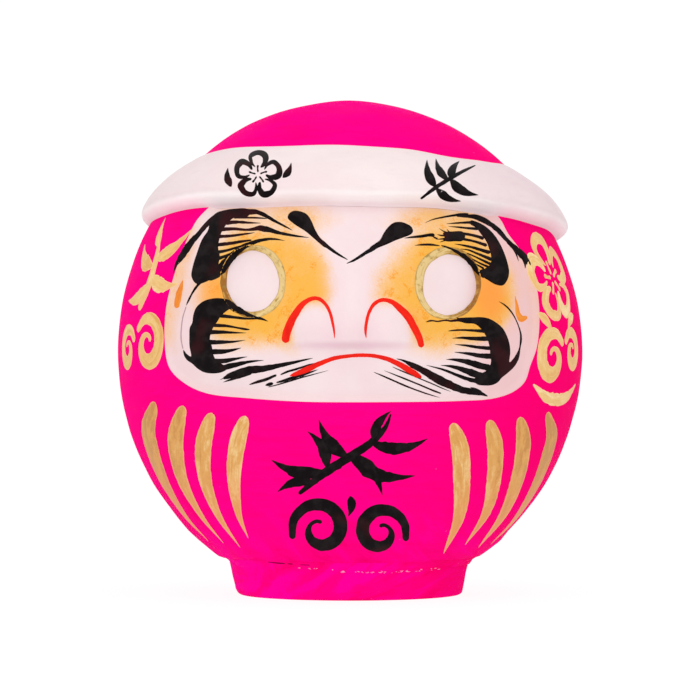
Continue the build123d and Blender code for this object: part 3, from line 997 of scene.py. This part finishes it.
beard_right_side = [
    patch((-62, 144.3), (-66.5, 144.4), (-71.5, 143), (-75, 140), (-76.5, 136.2), (-77, 132.5),
          (-78.2, 130), (-78.4, 126), (-78.3, 121), (-77.6, 116), (-79.6, 117.2), (-81.3, 119.2),
          (-81, 116.6), (-79.5, 114.2), (-77, 112.5), (-74.5, 110.2), (-71.5, 108.4), (-67.5, 107.7),
          (-62.5, 108.3), (-60, 110), (-62, 112), (-65.5, 114.5), (-67, 118), (-67.4, 121), (-68.4, 124),
          (-68.0, 127), (-66.8, 130), (-64.8, 133), (-62.8, 136), (-60, 138.4), (-57, 140.4),
          (-58.5, 143.2),
          line=[(-60, 143), (-68, 138), (-73, 129), (-73, 120), (-68, 111), (-60, 109)]),
    ribbon((-62, 142.4, 4.0), (-58.5, 141.0, 3.8), (-55, 138.9, 3.0), (-51.5, 137.1, 2.2), (-48, 135.8, 1.5),
           (-44.5, 134.7, 0.5), rough=0.16),
    ribbon((-64, 136, 1.8), (-58, 135.3, 1.5), (-52, 134.6, 1.2), (-47.5, 134.5, 0.9), (-44.5, 134.7, 1.4),
           (-42, 134, 1.0), (-40, 133.1, 0.1)),
    ribbon((-67, 131.2, 1.8), (-61, 131, 1.4), (-55, 130, 0.9), (-51, 129.3, 1.1), (-48.8, 129.1, 0.3)),
    ribbon((-69, 127.8, 2.2), (-62, 127.9, 1.6), (-56, 127.6, 0.9), (-50.5, 127.5, 0.1)),
    ribbon((-70, 123, 2.6), (-63, 123, 1.9), (-57, 123.2, 1.1), (-51, 124, 0.1)),
    ribbon((-69, 118.3, 2.8), (-62, 118.4, 2.2), (-57, 119.2, 1.3), (-53, 120.2, 0.1)),
    ribbon((-67, 113.6, 2.6), (-60, 114, 2.2), (-55, 115, 1.2), (-50, 115.9, 0.1)),
    ribbon((-64, 110, 3.0), (-56, 111.9, 2.4), (-50, 113.3, 1.4), (-46, 113.8, 0.9), (-42, 114.1, 0.1)),
]
whiskers_right_side = [
    ribbon((-62, 105.2, 1.0), (-59, 106.4, 2.6), (-54, 108.0, 3.6), (-49, 109.4, 3.8), (-44, 109.8, 3.3),
           (-38, 110.8, 2.6), (-32, 112.1, 2.0), (-26, 113.4, 1.3), (-21, 114.6, 0.7), (-18, 115.2, 0.1)),
    ribbon((-63.5, 104.6, 0.1), (-61, 105.6, 0.6), (-58, 106.8, 0.8)),
    ribbon((-62, 103.4, 0.1), (-59, 104.4, 0.9), (-54, 105.9, 1.2), (-48, 107.6, 0.8)),
    ribbon((-49.2, 102.2, 0.4), (-46, 103.3, 1.2), (-42, 104.4, 1.5), (-38.5, 105.8, 1.3), (-35.8, 107, 1.0)),
    ribbon((-34, 107, 0.6), (-31, 108.4, 1.0), (-27, 109.6, 1.1), (-23, 110.9, 1.0), (-19.5, 112, 0.8),
           (-17, 112.8, 0.1)),
    ribbon((-41.3, 101.9, 0.8), (-39, 102.5, 1.7), (-37.4, 102.9, 1.2)),
    ribbon((-36, 103.2, 0.6), (-32, 104.3, 1.3), (-28, 105.6, 1.4), (-23, 107, 1.2), (-18.5, 108.6, 0.8),
           (-15.5, 109.6, 0.1)),
    ribbon((-40, 101, 0.3), (-35, 102.3, 0.6), (-29, 104.1, 0.8), (-24, 105.6, 0.7), (-18, 107.2, 0.5),
           (-10.5, 109.2, 0.1)),
]
# Brow and beard on the doll's left, at +X.
brow_left_side = [
    patch((74.8, 150.8), (77, 153.8), (77.7, 157.5), (76.8, 162.3), (75.2, 167), (73.2, 171.3), (71, 174.8),
          (68.4, 177.8), (65.3, 180.2), (61.8, 181.9), (59, 182.5), (58.8, 180.8), (61.5, 179), (64.2, 175.6),
          (66.4, 172.6), (68, 168.6), (69, 164.6), (68.6, 161.4), (66.4, 159.2), (63.4, 158), (64, 155.8),
          (67.5, 153.2), (71.5, 151), line=[(73, 149), (72.5, 160), (70, 170), (65, 178), (58, 182)]),
    ribbon((61, 181.6, 1.9), (57, 181.5, 1.2), (52, 181.2, 0.8), (47, 180.9, 0.1)),
    ribbon((63, 178.4, 1.6), (58, 178.7, 1.1), (53, 179.2, 0.8), (48, 179.6, 0.1)),
    patch((45.4, 176.2), (46.6, 176.9), (50, 177.1), (53.6, 177.3), (55.2, 176.9), (56.2, 175.4),
          (56.0, 173.6), (54.6, 172.4), (51, 172.3), (47.6, 172.2), (45.6, 172.9), (46.2, 174.4)),
    ribbon((42.6, 175.6, 0.2), (44.4, 175.2, 0.7), (47, 175.0, 1.0)),
    ribbon((43.6, 178.6, 0.1), (45.4, 177.4, 0.5), (48, 176.2, 0.9)),
    ribbon((47.2, 178.4, 0.1), (48, 177.4, 0.5), (49, 176.4, 0.8)),
    ribbon((42.4, 173.2, 0.1), (44.4, 173.4, 0.6), (47, 173.6, 0.9)),
    ribbon((43.8, 171.8, 0.1), (45.4, 172.4, 0.5), (47.4, 172.9, 0.7)),
    ribbon((54, 176, 1.8), (59, 175.5, 1.3), (65.5, 173.6, 1.8)),
    ribbon((55, 173.4, 1.4), (60, 172.5, 1.2), (67, 170.2, 1.7)),
    ribbon((51, 171, 0.2), (55, 170.4, 0.8), (60, 169.3, 1.3), (68.5, 166.6, 1.9)),
    ribbon((54, 168.6, 0.2), (58, 168, 0.8), (62, 166.4, 1.1), (69.5, 163.2, 1.8)),
    ribbon((57, 166.6, 0.5), (61, 164.8, 0.8), (65, 162.9, 1.1), (69, 161, 1.5)),
    ribbon((59.5, 163.8, 0.5), (63, 161.8, 0.8), (68, 159.5, 1.3)),
    ribbon((61, 161.4, 0.6), (65.5, 158.9, 1.1)),
    ribbon((44.5, 170.3, 0.5), (48, 169.2, 1.1), (52, 167.3, 1.5), (56, 164.9, 2.0), (59.5, 161.4, 2.4),
           (62.5, 157.6, 2.6), (66.5, 155, 3.5), rough=0.16),
    ribbon((26.4, 173.8, 0.1), (30, 174.3, 0.9), (35, 174.8, 1.4), (39, 175.4, 1.6), (41.4, 175.2, 2.1)),
    ribbon((40.5, 174.6, 0.6), (42, 173.8, 0.9), (43, 173.4, 0.8)),
    ribbon((31.5, 170.3, 0.1), (35, 170.6, 0.9), (39, 170.7, 1.1), (42.5, 170.3, 0.7), (44, 170.1, 0.2)),
    ribbon((36.5, 181.2, 0.1), (40, 182.8, 0.5), (45, 184, 0.8), (50, 184.9, 1.0), (54, 185.4, 1.3),
           (58, 185.7, 0.8)),
    ribbon((52, 184.7, 0.8), (57, 184.6, 1.5), (61, 184.3, 2.4), (65, 182.8, 2.6), (69, 180.5, 2.4),
           (72.5, 177.6, 2.4), (75.5, 174.2, 2.0), (78.5, 171, 2.2), (81.5, 168.3, 2.6), (84.5, 165.2, 3.4),
           (87, 162, 3.0), (88.4, 160.4, 1.0)),
    ribbon((76, 173.6, 1.0), (79, 170, 1.1), (81, 166.6, 0.9), (82.4, 162.4, 0.1)),
    ribbon((84.5, 164, 1.2), (85.5, 161, 0.9), (85.6, 159, 0.2)),
    ribbon((72.6, 142.9, 0.1), (75, 141.5, 0.6), (77.5, 139.3, 0.8), (80, 135.8, 0.6), (82, 131.5, 0.5),
           (83.2, 127.5, 0.8), (83.4, 124, 1.0), (83, 121, 0.7), (82.6, 119, 0.9), (81.8, 116.5, 1.8),
           (80.6, 113.6, 2.6)),
]
beard_left_side = [
    patch((51, 134.4), (56, 135), (60, 135.1), (64, 135.2), (67.5, 134.6), (71, 132.8), (74.5, 129.8),
          (76.6, 126), (77.9, 121.8), (78.2, 118), (77.9, 113.2), (80.2, 115.6), (82.3, 119), (82.3, 116),
          (81.4, 112.9), (79.5, 110.3), (76.5, 107.6), (74, 105.6), (72.2, 103.5), (69.5, 102.1), (66, 101.8),
          (62, 102.4), (60.5, 104.6), (62.8, 107.2), (66.4, 109), (68.4, 111.8), (68.8, 114), (68.4, 117),
          (68.2, 120), (67.6, 122.8), (66.3, 126), (64, 129.4), (61, 131.8), (56, 132.3),
          line=[(52, 134), (62, 134), (71, 129), (73, 118), (71, 108), (63, 103)]),
    ribbon((37.2, 132.9, 0.3), (40, 133.4, 0.9), (43, 133.2, 0.6), (46, 133.6, 0.8), (50, 133.7, 1.6),
           (55, 133.7, 2.6), rough=0.22),
    ribbon((66, 128.3, 1.9), (60, 128.7, 1.2), (54, 128.9, 0.9), (50, 128.7, 0.7), (47.8, 128.4, 0.2)),
    ribbon((68.5, 124.6, 2.2), (61, 124.7, 1.9), (55, 125.1, 1.2), (49.8, 124.9, 0.1)),
    ribbon((70, 119.9, 2.0), (63, 120.4, 1.6), (57, 121.3, 1.1), (51, 121.9, 0.1)),
    ribbon((70, 116, 2.6), (63, 116.5, 2.2), (57, 117.5, 1.3), (50.8, 118.1, 0.1)),
    ribbon((69, 110, 3.0), (62, 112, 3.2), (56, 113.6, 2.4), (51, 114.4, 1.3), (46.8, 114.6, 0.1)),
    ribbon((67, 105.6, 3.2), (60, 107.8, 3.4), (54, 109.9, 2.3), (49, 111.2, 1.3), (44.2, 111.7, 0.1)),
    ribbon((64, 103.6, 2.6), (58, 104.8, 2.0), (52, 107, 1.5), (46, 109.4, 1.1), (41, 110.8, 0.6),
           (37, 111.8, 0.1)),
]
whiskers_left_side = [
    ribbon((22.6, 114.9, 0.2), (26, 114, 1.0), (30, 112, 2.4), (35, 109.4, 3.2), (40, 106.6, 4.0),
           (45, 103.9, 4.2), (50, 101.6, 3.8), (55, 99.7, 3.2), (60, 98.7, 3.0), (64, 97.9, 2.0),
           (67.2, 96.6, 0.5)),
    ribbon((58.5, 101, 0.2), (61, 100.2, 1.0), (64.3, 98.9, 0.5)),
    ribbon((20.6, 111, 0.2), (25, 109, 0.6), (30, 107, 0.7), (35, 104.8, 0.6), (40, 102.7, 0.6),
           (45, 100.5, 0.5), (49.3, 98.8, 0.1)),
    ribbon((16.5, 109.2, 0.1), (21, 107.4, 0.5), (26, 105.4, 0.8), (31, 103.4, 0.8), (36, 101.3, 0.8),
           (41, 99.2, 0.9), (44.5, 97.9, 0.6)),
    ribbon((11.5, 108.4, 0.2), (16, 106.5, 0.7), (21, 104.3, 0.8), (26, 102.1, 0.9), (31, 100.1, 0.7),
           (36, 98.3, 0.7), (40, 97, 0.5), (43.8, 95.9, 0.1)),
]
forehead = [
    patch((-30.4, 183.6), (-30, 185.6), (-27.6, 187.2), (-24.4, 187), (-21.2, 185.6), (-19, 182.6),
          (-17.2, 178.4), (-15.2, 174.9), (-12.6, 172), (-10.6, 169.8), (-12, 169.2), (-15, 171.4),
          (-18.2, 174.2), (-21.8, 177.2), (-25.6, 179.6), (-28.4, 181.6),
          line=[(-28, 185), (-22, 181), (-17, 175), (-11, 169.5)]),
    ribbon((-14.5, 172.6, 2.2), (-11, 169.7, 1.7), (-7.5, 167.1, 1.4), (-4.5, 165.2, 1.0),
           (-1.0, 163.2, 0.3)),
    patch((30.8, 177), (30, 179.4), (27.4, 181), (24.6, 181.8), (21.4, 181.4), (18.6, 179.2),
          (16.4, 176.2), (14.6, 172.9), (12, 171), (9.6, 169), (10.6, 167.6), (14, 169.2), (18, 170.8),
          (22.4, 172.8), (26.8, 174.4), (29.6, 175.6),
          line=[(29, 179), (22, 177), (16, 173), (10, 168.4)]),
    ribbon((-1.7, 161.4, 0.3), (1.5, 162.8, 1.0), (5, 164.9, 1.5), (8.6, 167.2, 1.8), (12.5, 169.6, 2.4)),
]
nostrils_and_mouth = [
    ribbon((-31.6, 122.6, 3.8), (-31.0, 127, 3.9), (-29.2, 132, 3.9), (-26.4, 137.2, 3.4),
           (-22.8, 141.8, 2.6), (-19.3, 144.0, 2.1), (-15.7, 144.3, 1.9), (-12.4, 142.0, 1.7),
           (-9.9, 137.8, 1.5), (-8.4, 132, 1.3), (-7.7, 128, 0.9), (-7.5, 124.7, 0.2),
           rough=0.02),
    ribbon((7.9, 124.9, 0.2), (7.6, 128, 1.2), (8, 132.6, 1.5), (9.4, 137.8, 1.6), (12, 141.8, 1.8),
           (15.8, 143.6, 1.9), (20, 142.8, 2.2), (24.5, 139.4, 3.2), (28.6, 135, 3.6), (31.4, 130, 3.4),
           (33.8, 125, 3.2), (35, 120.4, 2.8), rough=0.02),
    ribbon((-29.4, 106.5, 0.4), (-27, 107.3, 1.9), (-23.5, 108.6, 2.8), (-19.5, 110.4, 3.0),
           (-15, 112.4, 2.4), (-8, 115, 2.0), (0, 116.3, 1.8), (6, 116.6, 1.8), (12, 116.2, 1.9),
           (18, 114.8, 2.2), (24, 112.2, 2.7), (29, 109.2, 3.0), (33, 106.7, 2.6), (34.9, 105.6, 1.0),
           rough=0.02),
]
# The stripes of the belly, from the doll's right to its left: five places down the middle of each, its
# greatest level width, and how full it stays on its way down.
BELLY_STRIPES = [
    ([(-95, 93.5), (-98, 79), (-92, 58), (-80.5, 38.5), (-69, 26)], 6.9, 1.3),
    ([(-81.5, 92), (-85, 76), (-82, 57), (-72.5, 38.5), (-61.5, 25)], 7.7, 1.4),
    ([(-67.5, 88.5), (-71.5, 72), (-70.5, 56), (-64, 38.5), (-53.5, 23)], 8.0, 1.6),
    ([(-51, 87), (-55, 73), (-56.5, 56), (-54, 38.5), (-49.5, 27.5)], 8.1, 1.7),
    ([(50, 83.5), (53.5, 72), (54.5, 56), (53, 38), (45.5, 20)], 8.6, 2.4),
    ([(68, 85), (70.5, 74), (70.5, 60), (66.5, 40.5), (56, 24.2)], 7.7, 2.2),
    ([(83, 86.5), (84.5, 75), (82, 58), (74.5, 39), (62.5, 23)], 7.0, 2.4),
    ([(96, 88.5), (98, 77), (92.5, 58), (81.5, 38.5), (68.5, 24.5)], 5.5, 1.5),
]
STRIPE_SHOULDER = 0.2  # share of the way down where a stripe is widest
STRIPE_ROUNDING = 0.9  # at 1 the top would be an ellipse's end, and less leaves it blunter
STRIPE_TURN = 50  # degrees round the body from which each outermost stripe is laid on
# How light each stripe's gold is, from 0 to 1: painted shade darkens the stripes towards the body's sides,
# most on the +X side.
STRIPE_SHADED_TONES = [0.22, 0.38, 0.58, 0.78, 0.66, 0.50, 0.36, 0.10]


def belly_stripe(course, width, fullness):
    """A stripe as (u, v, level width): rounded at the top, widest at the shoulder, and tapered to a point."""
    line = smooth(course, 2.5)
    share = (line[0, 1] - line[:, 1]) / (line[0, 1] - line[-1, 1])
    above = np.clip(1 - share / STRIPE_SHOULDER, 0, 1)
    below = np.clip((share - STRIPE_SHOULDER) / (1 - STRIPE_SHOULDER), 0, 1)
    widths = width * np.sqrt(1 - STRIPE_ROUNDING * above**2) * (1 - below**fullness)
    return np.column_stack([line, np.maximum(widths, 0.2)])


def seen_turned(points, turn=0):
    """Turns points with level widths, as seen from the front, into stroke points seen from turn degrees."""
    given = np.array(points, float)
    reach = np.column_stack([given[:, 2] / 2, np.zeros(len(given))])
    rotation = np.array(Matrix.Rotation(math.radians(turn), 3, "Z"))
    one, other = (to_template(on_body(given[:, :2] + side)[0] @ rotation) for side in (reach, -reach))
    middle, span = (one + other) / 2, one - other
    heading = np.gradient(middle, axis=0)
    heading /= np.linalg.norm(heading, axis=1, keepdims=True)
    widths = np.abs(span[:, 0] * heading[:, 1] - span[:, 1] * heading[:, 0])
    return [(*place, width) for place, width in zip(middle, widths)]


def socket_ring(name, socket, seed):
    """Gold brushed over a socket's sloping wall and a little past it on both sides, unevenly."""
    rim_centre, rim, floor_centre, floor = socket
    turns = np.linspace(0, 2 * math.pi, 260, endpoint=False)
    around = np.column_stack([np.cos(turns), np.sin(turns)])
    uneven = waves(seed, 7, 34.0, 5.0)
    spread = np.column_stack([around * 15, np.zeros(len(turns))])
    outer = np.array(rim_centre) + around * rim + around * (0.05 + 0.28 * uneven(spread + 90))[:, None]
    inner = np.array(floor_centre) + around * floor - around * (0.30 + 0.30 * uneven(spread))[:, None]
    steps = np.linspace(0, 1, 15)
    spots = (inner + steps[:, None, None] * (outer - inner)).reshape(-1, 2)
    edge = np.repeat(np.minimum(steps, 1 - steps), len(turns))
    base, normals = on_body(spots)
    lift = relief(spots) + HANDMADE_HEIGHT * handmade(base) + 0.13
    top = base + normals * (lift + 0.04 * np.clip(edge / 0.1, 0, 1))[:, None]
    under = base + normals * (lift - 0.25)[:, None]
    rows, columns, count = len(steps), len(turns), len(spots)
    faces = []
    for j in range(columns):
        k = (j + 1) % columns
        for i in range(rows - 1):
            a, b, c, d = i * columns + j, i * columns + k, (i + 1) * columns + k, (i + 1) * columns + j
            faces += [(a, d, c, b), (a + count, b + count, c + count, d + count)]
        last = (rows - 1) * columns
        faces += [(j, k, k + count, j + count), (last + k, last + j, last + j + count, last + k + count)]
    side = np.sign(rim_centre[0])
    # Painted shade: 1 on the temple side of the socket, whose wall faces away from the light.
    shade = ramp(side * np.tile(around[:, 0], rows), -0.6, 0.9)
    across = np.linalg.norm(outer - inner, axis=1)
    brush = np.column_stack([np.tile(turns * 16, rows), np.repeat(steps, columns) * np.tile(across, rows),
                             np.zeros(count)])
    line = 0.6 * np.repeat(ramp(np.minimum(steps, 1 - steps), 0.16, 0.0), columns)
    return make_piece(name, np.vstack([top, under]), faces, eye_gold,
                      values={"brush": np.tile(brush, (2, 1)), "shade": np.tile(shade, 2),
                              "line": np.tile(line, 2)})


# ---- generic brush motifs ----------------------------------------------------------------------
def blossom(u, v, size, width, turn=0.0):
    """A five-petalled flower in brush strokes, with stamens."""
    strokes = []
    for petal in range(5):
        middle = math.radians(90 + 72 * petal + turn)

        def at(reach, angle):
            return u + size * reach * math.cos(middle + angle), v + size * reach * math.sin(middle + angle)

        strokes.append(ribbon((*at(0.34, -0.35), width * 0.3), (*at(0.62, -0.52), width * 0.8),
                              (*at(0.92, -0.36), width * 1.1), (*at(1.0, 0.0), width * 0.9),
                              (*at(0.90, 0.38), width * 0.75), (*at(0.62, 0.50), width * 0.5),
                              (*at(0.36, 0.34), width * 0.15)))
        strokes.append(ribbon((*at(0.10, 0), width * 0.35), (*at(0.30, 0.05), width * 0.25),
                              (*at(0.44, 0), width * 0.5)))
    return strokes


def leaf(u, v, length, heading, width, bend=0.12):
    """One bamboo leaf: a pull of the brush that swells and ends in a point."""
    angle = math.radians(heading)
    forward = np.array([math.cos(angle), math.sin(angle)])
    sideways = np.array([-forward[1], forward[0]])
    points = []
    for share, swell in ((0, 0.15), (0.12, 0.6), (0.32, 1.0), (0.55, 0.85), (0.8, 0.4), (1.0, 0.03)):
        aside = bend * math.sin(math.pi * share)
        place = np.array([u, v]) + length * (forward * share + sideways * aside)
        points.append((*place, width * swell))
    return ribbon(*points)


def curl(u, v, size, width, turn=0.0, hand=1, turns=1.35):
    """A scroll such as a wave or a cloud has: a stroke that winds inwards."""
    points = []
    for share in np.linspace(0, 1, 13):
        angle = math.radians(turn) + hand * share * turns * 2 * math.pi
        reach = size * (1 - 0.78 * share)
        swell = 0.35 + 0.9 * math.sin(math.pi * min(1, share * 1.1 + 0.08))
        points.append((u + reach * math.cos(angle), v + reach * math.sin(angle), width * swell))
    return ribbon(*points, rough=0.02)


band_motifs = [
    *blossom(-45, 205, 10.8, 2.9),
    leaf(-58, 199, 9.5, 100, 3.6), leaf(-33, 203.5, 8.5, 60, 3.2, -0.12),
    ribbon((34.5, 193, 1.0), (41, 198, 1.9), (48, 202.5, 2.0), (56, 207, 1.5), (61.5, 209.6, 0.5)),
    leaf(42, 199, 14, 108, 4.4), leaf(42, 198.5, 14, -28, 4.0, -0.12), leaf(49, 203, 9.8, 62, 4.0),
    leaf(49, 203, 16, -30, 4.6, -0.14), leaf(48, 202.5, 12, 120, 3.8),
]
belly_motifs = [
    ribbon((-25, 49, 1.8), (-14, 58, 4.0), (-2, 66, 4.4), (9, 73, 3.6), (17, 81, 2.4), (20, 88, 0.8)),
    leaf(-12, 60, 27, 168, 6.4), leaf(-11, 61, 21, 118, 5.6, -0.14), leaf(-1, 67, 23, 128, 6.2),
    leaf(0, 67, 33, -16, 6.8, -0.14), leaf(2, 68, 24, -55, 6.0), leaf(10, 74, 28, 4, 6.0, -0.14),
    leaf(11, 75, 17, 58, 4.8), leaf(-18, 55, 18, 196, 5.0, -0.12),
    curl(-14.5, 32, 14.5, 5.4, turn=200, hand=-1), curl(15, 30.5, 13, 5.2, turn=-20, hand=1),
    leaf(0, 48, 10, -95, 4.4),
]
cheek_right_side = [
    ribbon((-2, 178, 1.2), (2, 170, 4.4), (3, 160, 6.2), (0, 150, 6.0), (-5, 142, 4.0)),
    leaf(2, 168, 28, 28, 7.6, -0.12), leaf(3, 159, 26, -12, 8.0, -0.12), leaf(1, 164, 27, 152, 7.6),
    leaf(2, 155, 27, 196, 7.6), leaf(1, 174, 17, 118, 6.0),
    curl(8, 124, 14.5, 6.8, turn=150, hand=-1), curl(-18, 122, 11.5, 6.0, turn=20, hand=1),
]
cheek_left_side = [
    *blossom(2, 158, 20.5, 6.2, turn=12),
    curl(-8, 117, 14, 6.8, turn=30, hand=1), curl(17, 121, 11, 6.0, turn=160, hand=-1),
    ribbon((-24, 103.2, 1.0), (-12, 97.4, 5.2), (2, 95.8, 6.4), (16, 97.8, 5.6), (28, 104.2, 1.0)),
    leaf(-20, 139, 16, -40, 5.6), leaf(24, 140, 15, 215, 5.4, -0.12),
]
CHEEK_TURN = 60  # degrees round the body from the front to the middle of each cheek's motif

rings = [socket_ring("eye_ring_right", SOCKETS[0], 21), socket_ring("eye_ring_left", SOCKETS[1], 22)]
canvas = tree_of([body_front, face, band, foot, glue_line, *rings])  # what the strokes lie on
paint("brow_right", brow_right_side, ink, INK, spacing=BRUSH_HAIRS)
paint("beard_right", beard_right_side, ink, INK, spacing=BRUSH_HAIRS)
paint("whiskers_right", whiskers_right_side, ink, INK)
paint("brow_left", brow_left_side, ink, INK, spacing=BRUSH_HAIRS)
paint("beard_left", beard_left_side, ink, INK, spacing=BRUSH_HAIRS)
paint("whiskers_left", whiskers_left_side, ink, INK)
paint("forehead_strokes", forehead, ink, INK)
paint("nostrils_and_mouth", nostrils_and_mouth, red, RED)
gold_stripes = [belly_stripe(*stripe) for stripe in BELLY_STRIPES]
paint("gold_stripes", [ribbon(*seen_turned(stripe), rough=0.02) for stripe in gold_stripes[1:-1]],
      gold, GOLD, tones=STRIPE_SHADED_TONES[1:-1])
for name, stripe, tone, turn in (("gold_stripe_right", gold_stripes[0], STRIPE_SHADED_TONES[0], -STRIPE_TURN),
                                 ("gold_stripe_left", gold_stripes[-1], STRIPE_SHADED_TONES[-1], STRIPE_TURN)):
    paint(name, [ribbon(*seen_turned(stripe, turn), rough=0.02)],
          gold, GOLD, turn=turn, tones=[tone])
paint("band_motifs", band_motifs, ink, INK)
paint("belly_motifs", belly_motifs, ink, INK)
paint("cheek_motif_right", cheek_right_side, pale_gold, GOLD, turn=-CHEEK_TURN)
paint("cheek_motif_left", cheek_left_side, pale_gold, GOLD, turn=CHEEK_TURN)
paint("temple_strokes", [
    ribbon((-81.6, 153.4, 0.3), (-82.5, 150, 2.0), (-83.5, 146.5, 3.0), (-84.2, 143, 3.0),
           (-84.8, 139.6, 2.2)),
    ribbon((80.6, 145.8, 0.1), (81.4, 141, 1.4), (82.2, 136.5, 2.4), (84, 134.2, 3.0), (86.5, 135.5, 1.6)),
], orange, GOLD)
paint("temple_lines", [
    ribbon((-80, 140.5, 0.5), (-81.6, 135, 0.5), (-82.3, 130, 0.5), (-82.4, 124.5, 0.6), (-81.5, 119.5, 0.5)),
], wash, INK)


def seam_flecks():
    """Small worn places along the foot's seam at the front."""
    draw = np.random.default_rng(41)
    strokes = []
    for u in np.concatenate([draw.uniform(-29, 45, 26), draw.uniform(2, 28, 16)]):
        v = 10.9 + 0.0019 * (u - 12) ** 2 + draw.uniform(-0.5, 0.5)
        length, width, slope = draw.uniform(0.4, 1.7), draw.uniform(0.2, 0.5), draw.uniform(-0.45, 0.45)
        strokes.append(ribbon((u - length / 2, v - slope * length / 2, width * 0.4), (u, v, width),
                              (u + length / 2, v + slope * length / 2, width * 0.3)))
    return strokes


paint("seam_flecks", seam_flecks(), fleck, WORN)
paint("seam_nicks", [
    ribbon((-40, 15.9, 0.2), (-37, 15.6, 0.45), (-33.5, 15.3, 0.55), (-31.4, 15.2, 0.2)),
    ribbon((-30.4, 15.1, 0.2), (-28.9, 15.0, 0.45), (-27.6, 14.9, 0.2)),
    ribbon((-24.5, 14.6, 0.2), (-22, 14.5, 0.3), (-19.5, 14.4, 0.2)),
], nick, WORN)


# ---- CAD nodes that stay -----------------------------------------------------------------------
carried = {
    "seam_strip": raw_material("raw_paper", (0.55, 0.50, 0.42), (0.42, 0.37, 0.30), 260, 0.12),
    "sole_disc": raw_material("card", (0.46, 0.31, 0.18), (0.33, 0.21, 0.11), 420, 0.10, (1, 0.25, 1)),
    "ballast_disc": raw_material("clay", (0.40, 0.27, 0.18), (0.25, 0.16, 0.10), 180, 0.3),
}
for node, material in carried.items():
    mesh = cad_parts[node].data
    mesh.materials.clear()
    mesh.materials.append(material)

# ---- stage, light and camera -------------------------------------------------------------------
floor_shader = Shader("floor", Specular_IOR_Level=0.0, Emission_Color=(1.0, 1.0, 1.0, 1.0),
                      Emission_Strength=0.91)
floor_tone = floor_shader.blend(floor_shader.span(floor_shader.noise(3, detail=4), 0.3, 0.7),
                                (0.12, 0.12, 0.12), (0.112, 0.112, 0.114))
floor_rough = floor_shader.span(floor_shader.noise(40), 0.3, 0.7, 0.8, 0.95)
floor_grain = floor_shader.bump(floor_shader.noise(300), 0.02)
floor_material = floor_shader.finish(floor_tone, floor_rough, floor_grain)
rise = np.linspace(0, math.pi / 2, 40)
sweep = [(-3.0, 0.0)] + [(2.0 + 1.5 * math.sin(t), 1.5 - 1.5 * math.cos(t)) for t in rise] + [(3.5, 4.0)]
floor_mesh = bpy.data.meshes.new("floor")
floor_mesh.from_pydata([(x, y, z) for y, z in sweep for x in (-14, 14)], [],
                       [(2 * i, 2 * i + 1, 2 * i + 3, 2 * i + 2) for i in range(len(sweep) - 1)])
floor_mesh.polygons.foreach_set("use_smooth", [True] * len(floor_mesh.polygons))
floor_mesh.materials.append(floor_material)
floor = bpy.data.objects.new("floor", floor_mesh)
bpy.context.scene.collection.objects.link(floor)

world = bpy.data.worlds.new("studio")
world.use_nodes = True
world.node_tree.nodes["Background"].inputs["Color"].default_value = (1.0, 1.0, 1.0, 1.0)
world.node_tree.nodes["Background"].inputs["Strength"].default_value = 0.92
bpy.context.scene.world = world


def soft_box(name, place, aim, size, power):
    lamp = bpy.data.lights.new(name, "AREA")
    lamp.shape = "RECTANGLE"
    lamp.size, lamp.size_y = size
    lamp.energy = power
    lamp_object = bpy.data.objects.new(name, lamp)
    lamp_object.location = place
    lamp_object.rotation_euler = (Vector(aim) - Vector(place)).to_track_quat("-Z", "Y").to_euler()
    bpy.context.scene.collection.objects.link(lamp_object)


soft_box("key_light", (-0.6, -1.6, 0.9), (0, 0, 0.12), (1.2, 1.2), 4.5)
soft_box("top_light", (0.1, -0.7, 1.5), (0, 0, 0.18), (0.9, 0.9), 3)
soft_box("low_light", (0.2, -1.6, 0.05), (0, 0, 0.10), (1.0, 0.6), 4)

camera_data = bpy.data.cameras.new("camera")
camera_data.sensor_width = SENSOR
camera_data.lens = SENSOR * float(np.linalg.norm(VIEW_TARGET - VIEW_POINT)) / VIEW_WIDTH
camera_data.clip_end = 50
camera = bpy.data.objects.new("camera", camera_data)
camera.location = Vector(VIEW_POINT) * MM
camera.rotation_euler = Vector(VIEW_TARGET - VIEW_POINT).to_track_quat("-Z", "Y").to_euler()
bpy.context.scene.collection.objects.link(camera)
bpy.context.scene.camera = camera
bpy.context.scene.view_settings.view_transform = "Standard"
